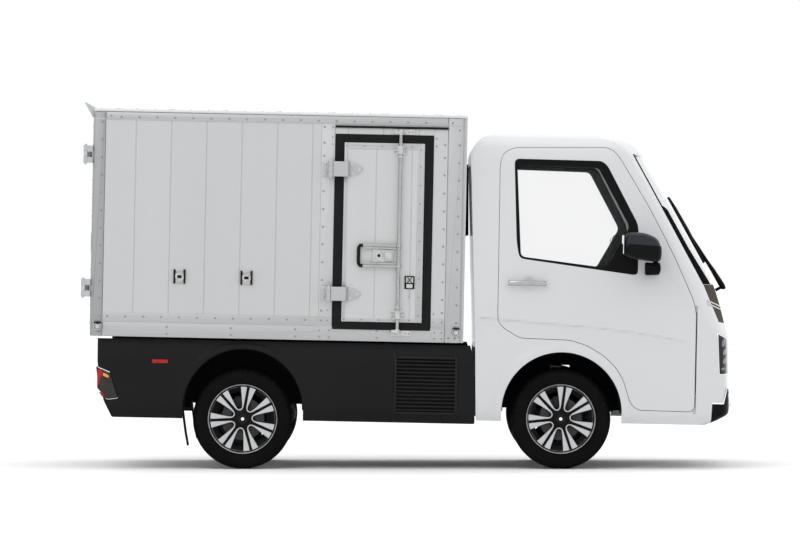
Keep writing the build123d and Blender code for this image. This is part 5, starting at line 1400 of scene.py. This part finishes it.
def build_steering_wheel():
    """Wheel about its centre C: U and V lie in its plane, W points up the column."""
    wheel = Geo("grip", "trim")
    C = Vector((1210, 300, 1050))
    U, V, W = Vector((0.866, 0, 0.5)), Vector((0, 1, 0)), Vector((-0.5, 0, 0.866))
    rays = [U * c + V * s for c, s in round_points(0, 0, 1, 64)]
    wheel.rings([[tuple(C + ray * 158 + ray.normalized() * u + W * w) for u,
        w in round_points(0, 0, 12, 14)] for ray in rays + rays[:1]], 0, False)
    for a in (90, 210, 330):
        d = U * math.cos(math.radians(a)) + V * math.sin(math.radians(a))
        wheel.tube([tuple(C + d * s - W * 4) for s in (20, 60, 110, 152)], [17, 12, 9, 9], 1, 12, flat=0.5)
    wheel.tube([tuple(C + W * s) for s in (-34, -26, 8, 14, 16)], [22, 40, 42, 36, 20], 1, 32)
    wheel.tube([tuple(C - W * s) for s in (20, 250)], 10, 1, 16)
    wheel.put("steering_wheel_rim", "steering_wheel", ["steering_wheel"], "wheel_grip")


def build_seats():
    for index, (y0, y1) in enumerate(SEATS):
        for part in ("cushion", "back"):
            make_pad(part, y0, y1, index)
    shells = Geo("dark")
    for y0, y1 in SEATS:
        shells.box(520, 980, y0 + 40, y1 - 40, 703, 726, 6)
        shells.prism(fillet([(372, 860), (392, 860), (384, 1300), (366, 1300)], 6), y0 + 30, y1 - 30, "y", 6)
    shells.put("seat_shells", "truck", (), "dark_plastic")


PAD_WELD = 0.0012                                   # metres; joins the two faces of a pad at its rim


def make_pad(part, y0, y1, index):
    """Crowned seat cushion or back with pulled-in sides and two sewn channels."""
    n, m = 34, 26
    cy, half = (y0 + y1) / 2, (y1 - y0) / 2 - 6
    verts, faces = [], []
    for layer in (1, -1):
        for i in range(n + 1):
            for j in range(m + 1):
                u, v = 2 * i / n - 1, 2 * j / m - 1
                crown = max(0.0, (1 - abs(u) ** 5) * (1 - abs(v) ** 5)) ** 0.42
                swell = 1 - 0.24 * (u * u + v * v) / 2
                seam = math.exp(-((abs(v) - 0.5) / 0.035) ** 2) * 0.16 + math.exp(-(u / 0.03) ** 2) * 0.10
                pull = 1 - 0.03 * (1 - abs(u)) * abs(v) ** 3
                if part == "cushion":
                    height = 60 * crown * (swell - (seam if layer > 0 else 0)) * (1.0 if layer > 0 else 0.92)
                    verts.append((755 + 250 * u, cy + half * v * pull, 786 + layer * height))
                else:
                    height = 50 * crown * (swell - (seam if layer > 0 else 0))
                    verts.append((430 - 22 * u + layer * height * 0.92, cy + half * v * pull, 1091 + 234 * u))
    size = (n + 1) * (m + 1)
    for layer in (0, 1):
        for i in range(n):
            for j in range(m):
                a = layer * size + i * (m + 1) + j
                quad = (a, a + 1, a + m + 2, a + m + 1)
                faces.append(quad if layer == 0 else quad[::-1])
    side = "right" if index == 0 else "left"
    o = temp(Geo().add(verts, faces), PAD_WELD)
    stands = ["cab_seats"] if (part, index) == ("cushion", 0) else ()
    settle(o, f"seat_{part}_{side}", ["seat"], "truck", stands, "seat_fabric", angle=70)


for end, x, lead in (("front", X_FRONT, math.radians(7.6)), ("rear", X_REAR, math.radians(10.5))):
    for side in ("right", "left"):
        make_tyre(x, side, end)
        make_rim(x, side, end, lead)
build_skirts()
build_vents()
build_rear_end()
build_door_fittings()
build_wiper()
build_nose()
build_dash()
build_steering_wheel()
build_seats()


# ------------------------------------------------------------------ carried-over CAD nodes
CARRIED = {
    "chassis_frame": "frame", "battery_pack": "battery", "leaf_springs": "spring", "shock_absorbers": "frame",
    "rear_axle": "iron", "front_suspension": "frame", "side_skirts": "charcoal", "vent_grilles": "grille",
    "rear_bumper": "bumper", "rear_lamps": "red", "headlights": "trim", "wheel_liners": "liner",
    "mud_flaps": "flap", "cab_shell": "white", "cab_glass": "shield", "front_panel": "bronze",
    "bumper_grille": "bumper", "dashboard": "dash", "cab_seats": "seat", "steering_gear": "frame",
    "box_floor": "ply", "box_walls": "panel", "box_roof": "roof", "box_frame": "alloy", "door_seals": "seal",
    "hinge_brackets": "zinc", "door_keepers": "zinc", "rain_visor": "alloy", "side_door": "door",
    "side_lock_rod": "bright", "side_lock_handle": "bright", "wiper": "trim", "steering_wheel": "grip",
    "steering_rack": "iron", "rear_door": "door", "rear_rod": "bright", "rear_handle": "bright",
    "cab_door": "white", "door_trim": "trim", "window": "glass", "cab_handle": "chrome", "mirror": "mirror",
    "knuckle": "iron", "tyre_front": "tyre", "tyre_rear": "tyre", "rim_front": "cut_front",
    "rim_rear": "cut_rear"}
for name, o in NODES.items():
    key = name.rsplit("_", 1)[0] if name.endswith(("_right", "_left")) else name
    o.data.materials.clear()
    o.data.materials.append(M[CARRIED[key]])


# ------------------------------------------------------------------ floor, light, camera
HORIZON, SKY = 1.0, 1.22                            # strength of the sky at the horizon and well above it
SKY_LOW, SKY_HIGH = 0.14, 0.36                      # sine of the height where it starts and ends to rise
FLOOR = 400.0                                       # half width of the floor, metres
CAMERA_PLACE, LENS = (-0.0529, -28.90, 1.1456), 224.4


def studio():
    scene = bpy.context.scene
    scene.view_settings.view_transform = "Standard"
    mesh = bpy.data.meshes.new("floor")
    corners = [(u, v, 0) for u, v in rect(-FLOOR, FLOOR, -FLOOR, FLOOR)]
    mesh.from_pydata(corners, [], [(0, 1, 2, 3)])
    floor = bpy.data.objects.new("floor", mesh)
    scene.collection.objects.link(floor)
    pale = surface("studio_floor", (0.93, 0.93, 0.93), 0.9, spread=0.0, patch=0.2, grain=20, bump=0.0,
        ior=1.1)
    mesh.materials.append(pale)
    world = bpy.data.worlds.new("studio")
    scene.world = world
    world.use_nodes = True
    tree = world.node_tree
    split = node(tree, "ShaderNodeSeparateXYZ")
    tree.links.new(node(tree, "ShaderNodeTexCoord").outputs["Generated"], split.inputs[0])
    sky = ramp(tree, split.outputs["Z"], SKY_LOW, SKY_HIGH, HORIZON, SKY)
    tree.links.new(sky, tree.nodes["Background"].inputs["Strength"])
    tree.nodes["Background"].inputs["Color"].default_value = (1.0, 1.0, 1.0, 1.0)
    for name, place, aim, size, power in (("key", (-5.0, -9.5, 10.5), (0.1, -0.5, 0.9), 4.0, 160.0),
            ("fill", (9.5, -6.0, 3.0), (1.2, -0.4, 0.9), 5.0, 20.0), ("top", (0.0, 0.5, 9.0), (0.0, 0.0, 1.0),
            8.0, 80.0)):
        lamp = bpy.data.lights.new(name, "AREA")
        lamp.shape, lamp.size, lamp.energy = "DISK", size, power
        o = bpy.data.objects.new(name, lamp)
        o.location = place
        o.rotation_mode = "QUATERNION"
        o.rotation_quaternion = (Vector(aim) - Vector(place)).to_track_quat("-Z", "Y")
        scene.collection.objects.link(o)
    lens = bpy.data.cameras.new("camera")
    lens.lens, lens.sensor_width = LENS, 36.0
    lens.clip_end = 2000.0
    cam = bpy.data.objects.new("camera", lens)
    cam.location = CAMERA_PLACE
    cam.rotation_euler = (math.radians(90), 0, 0)
    scene.collection.objects.link(cam)
    scene.camera = cam


studio()
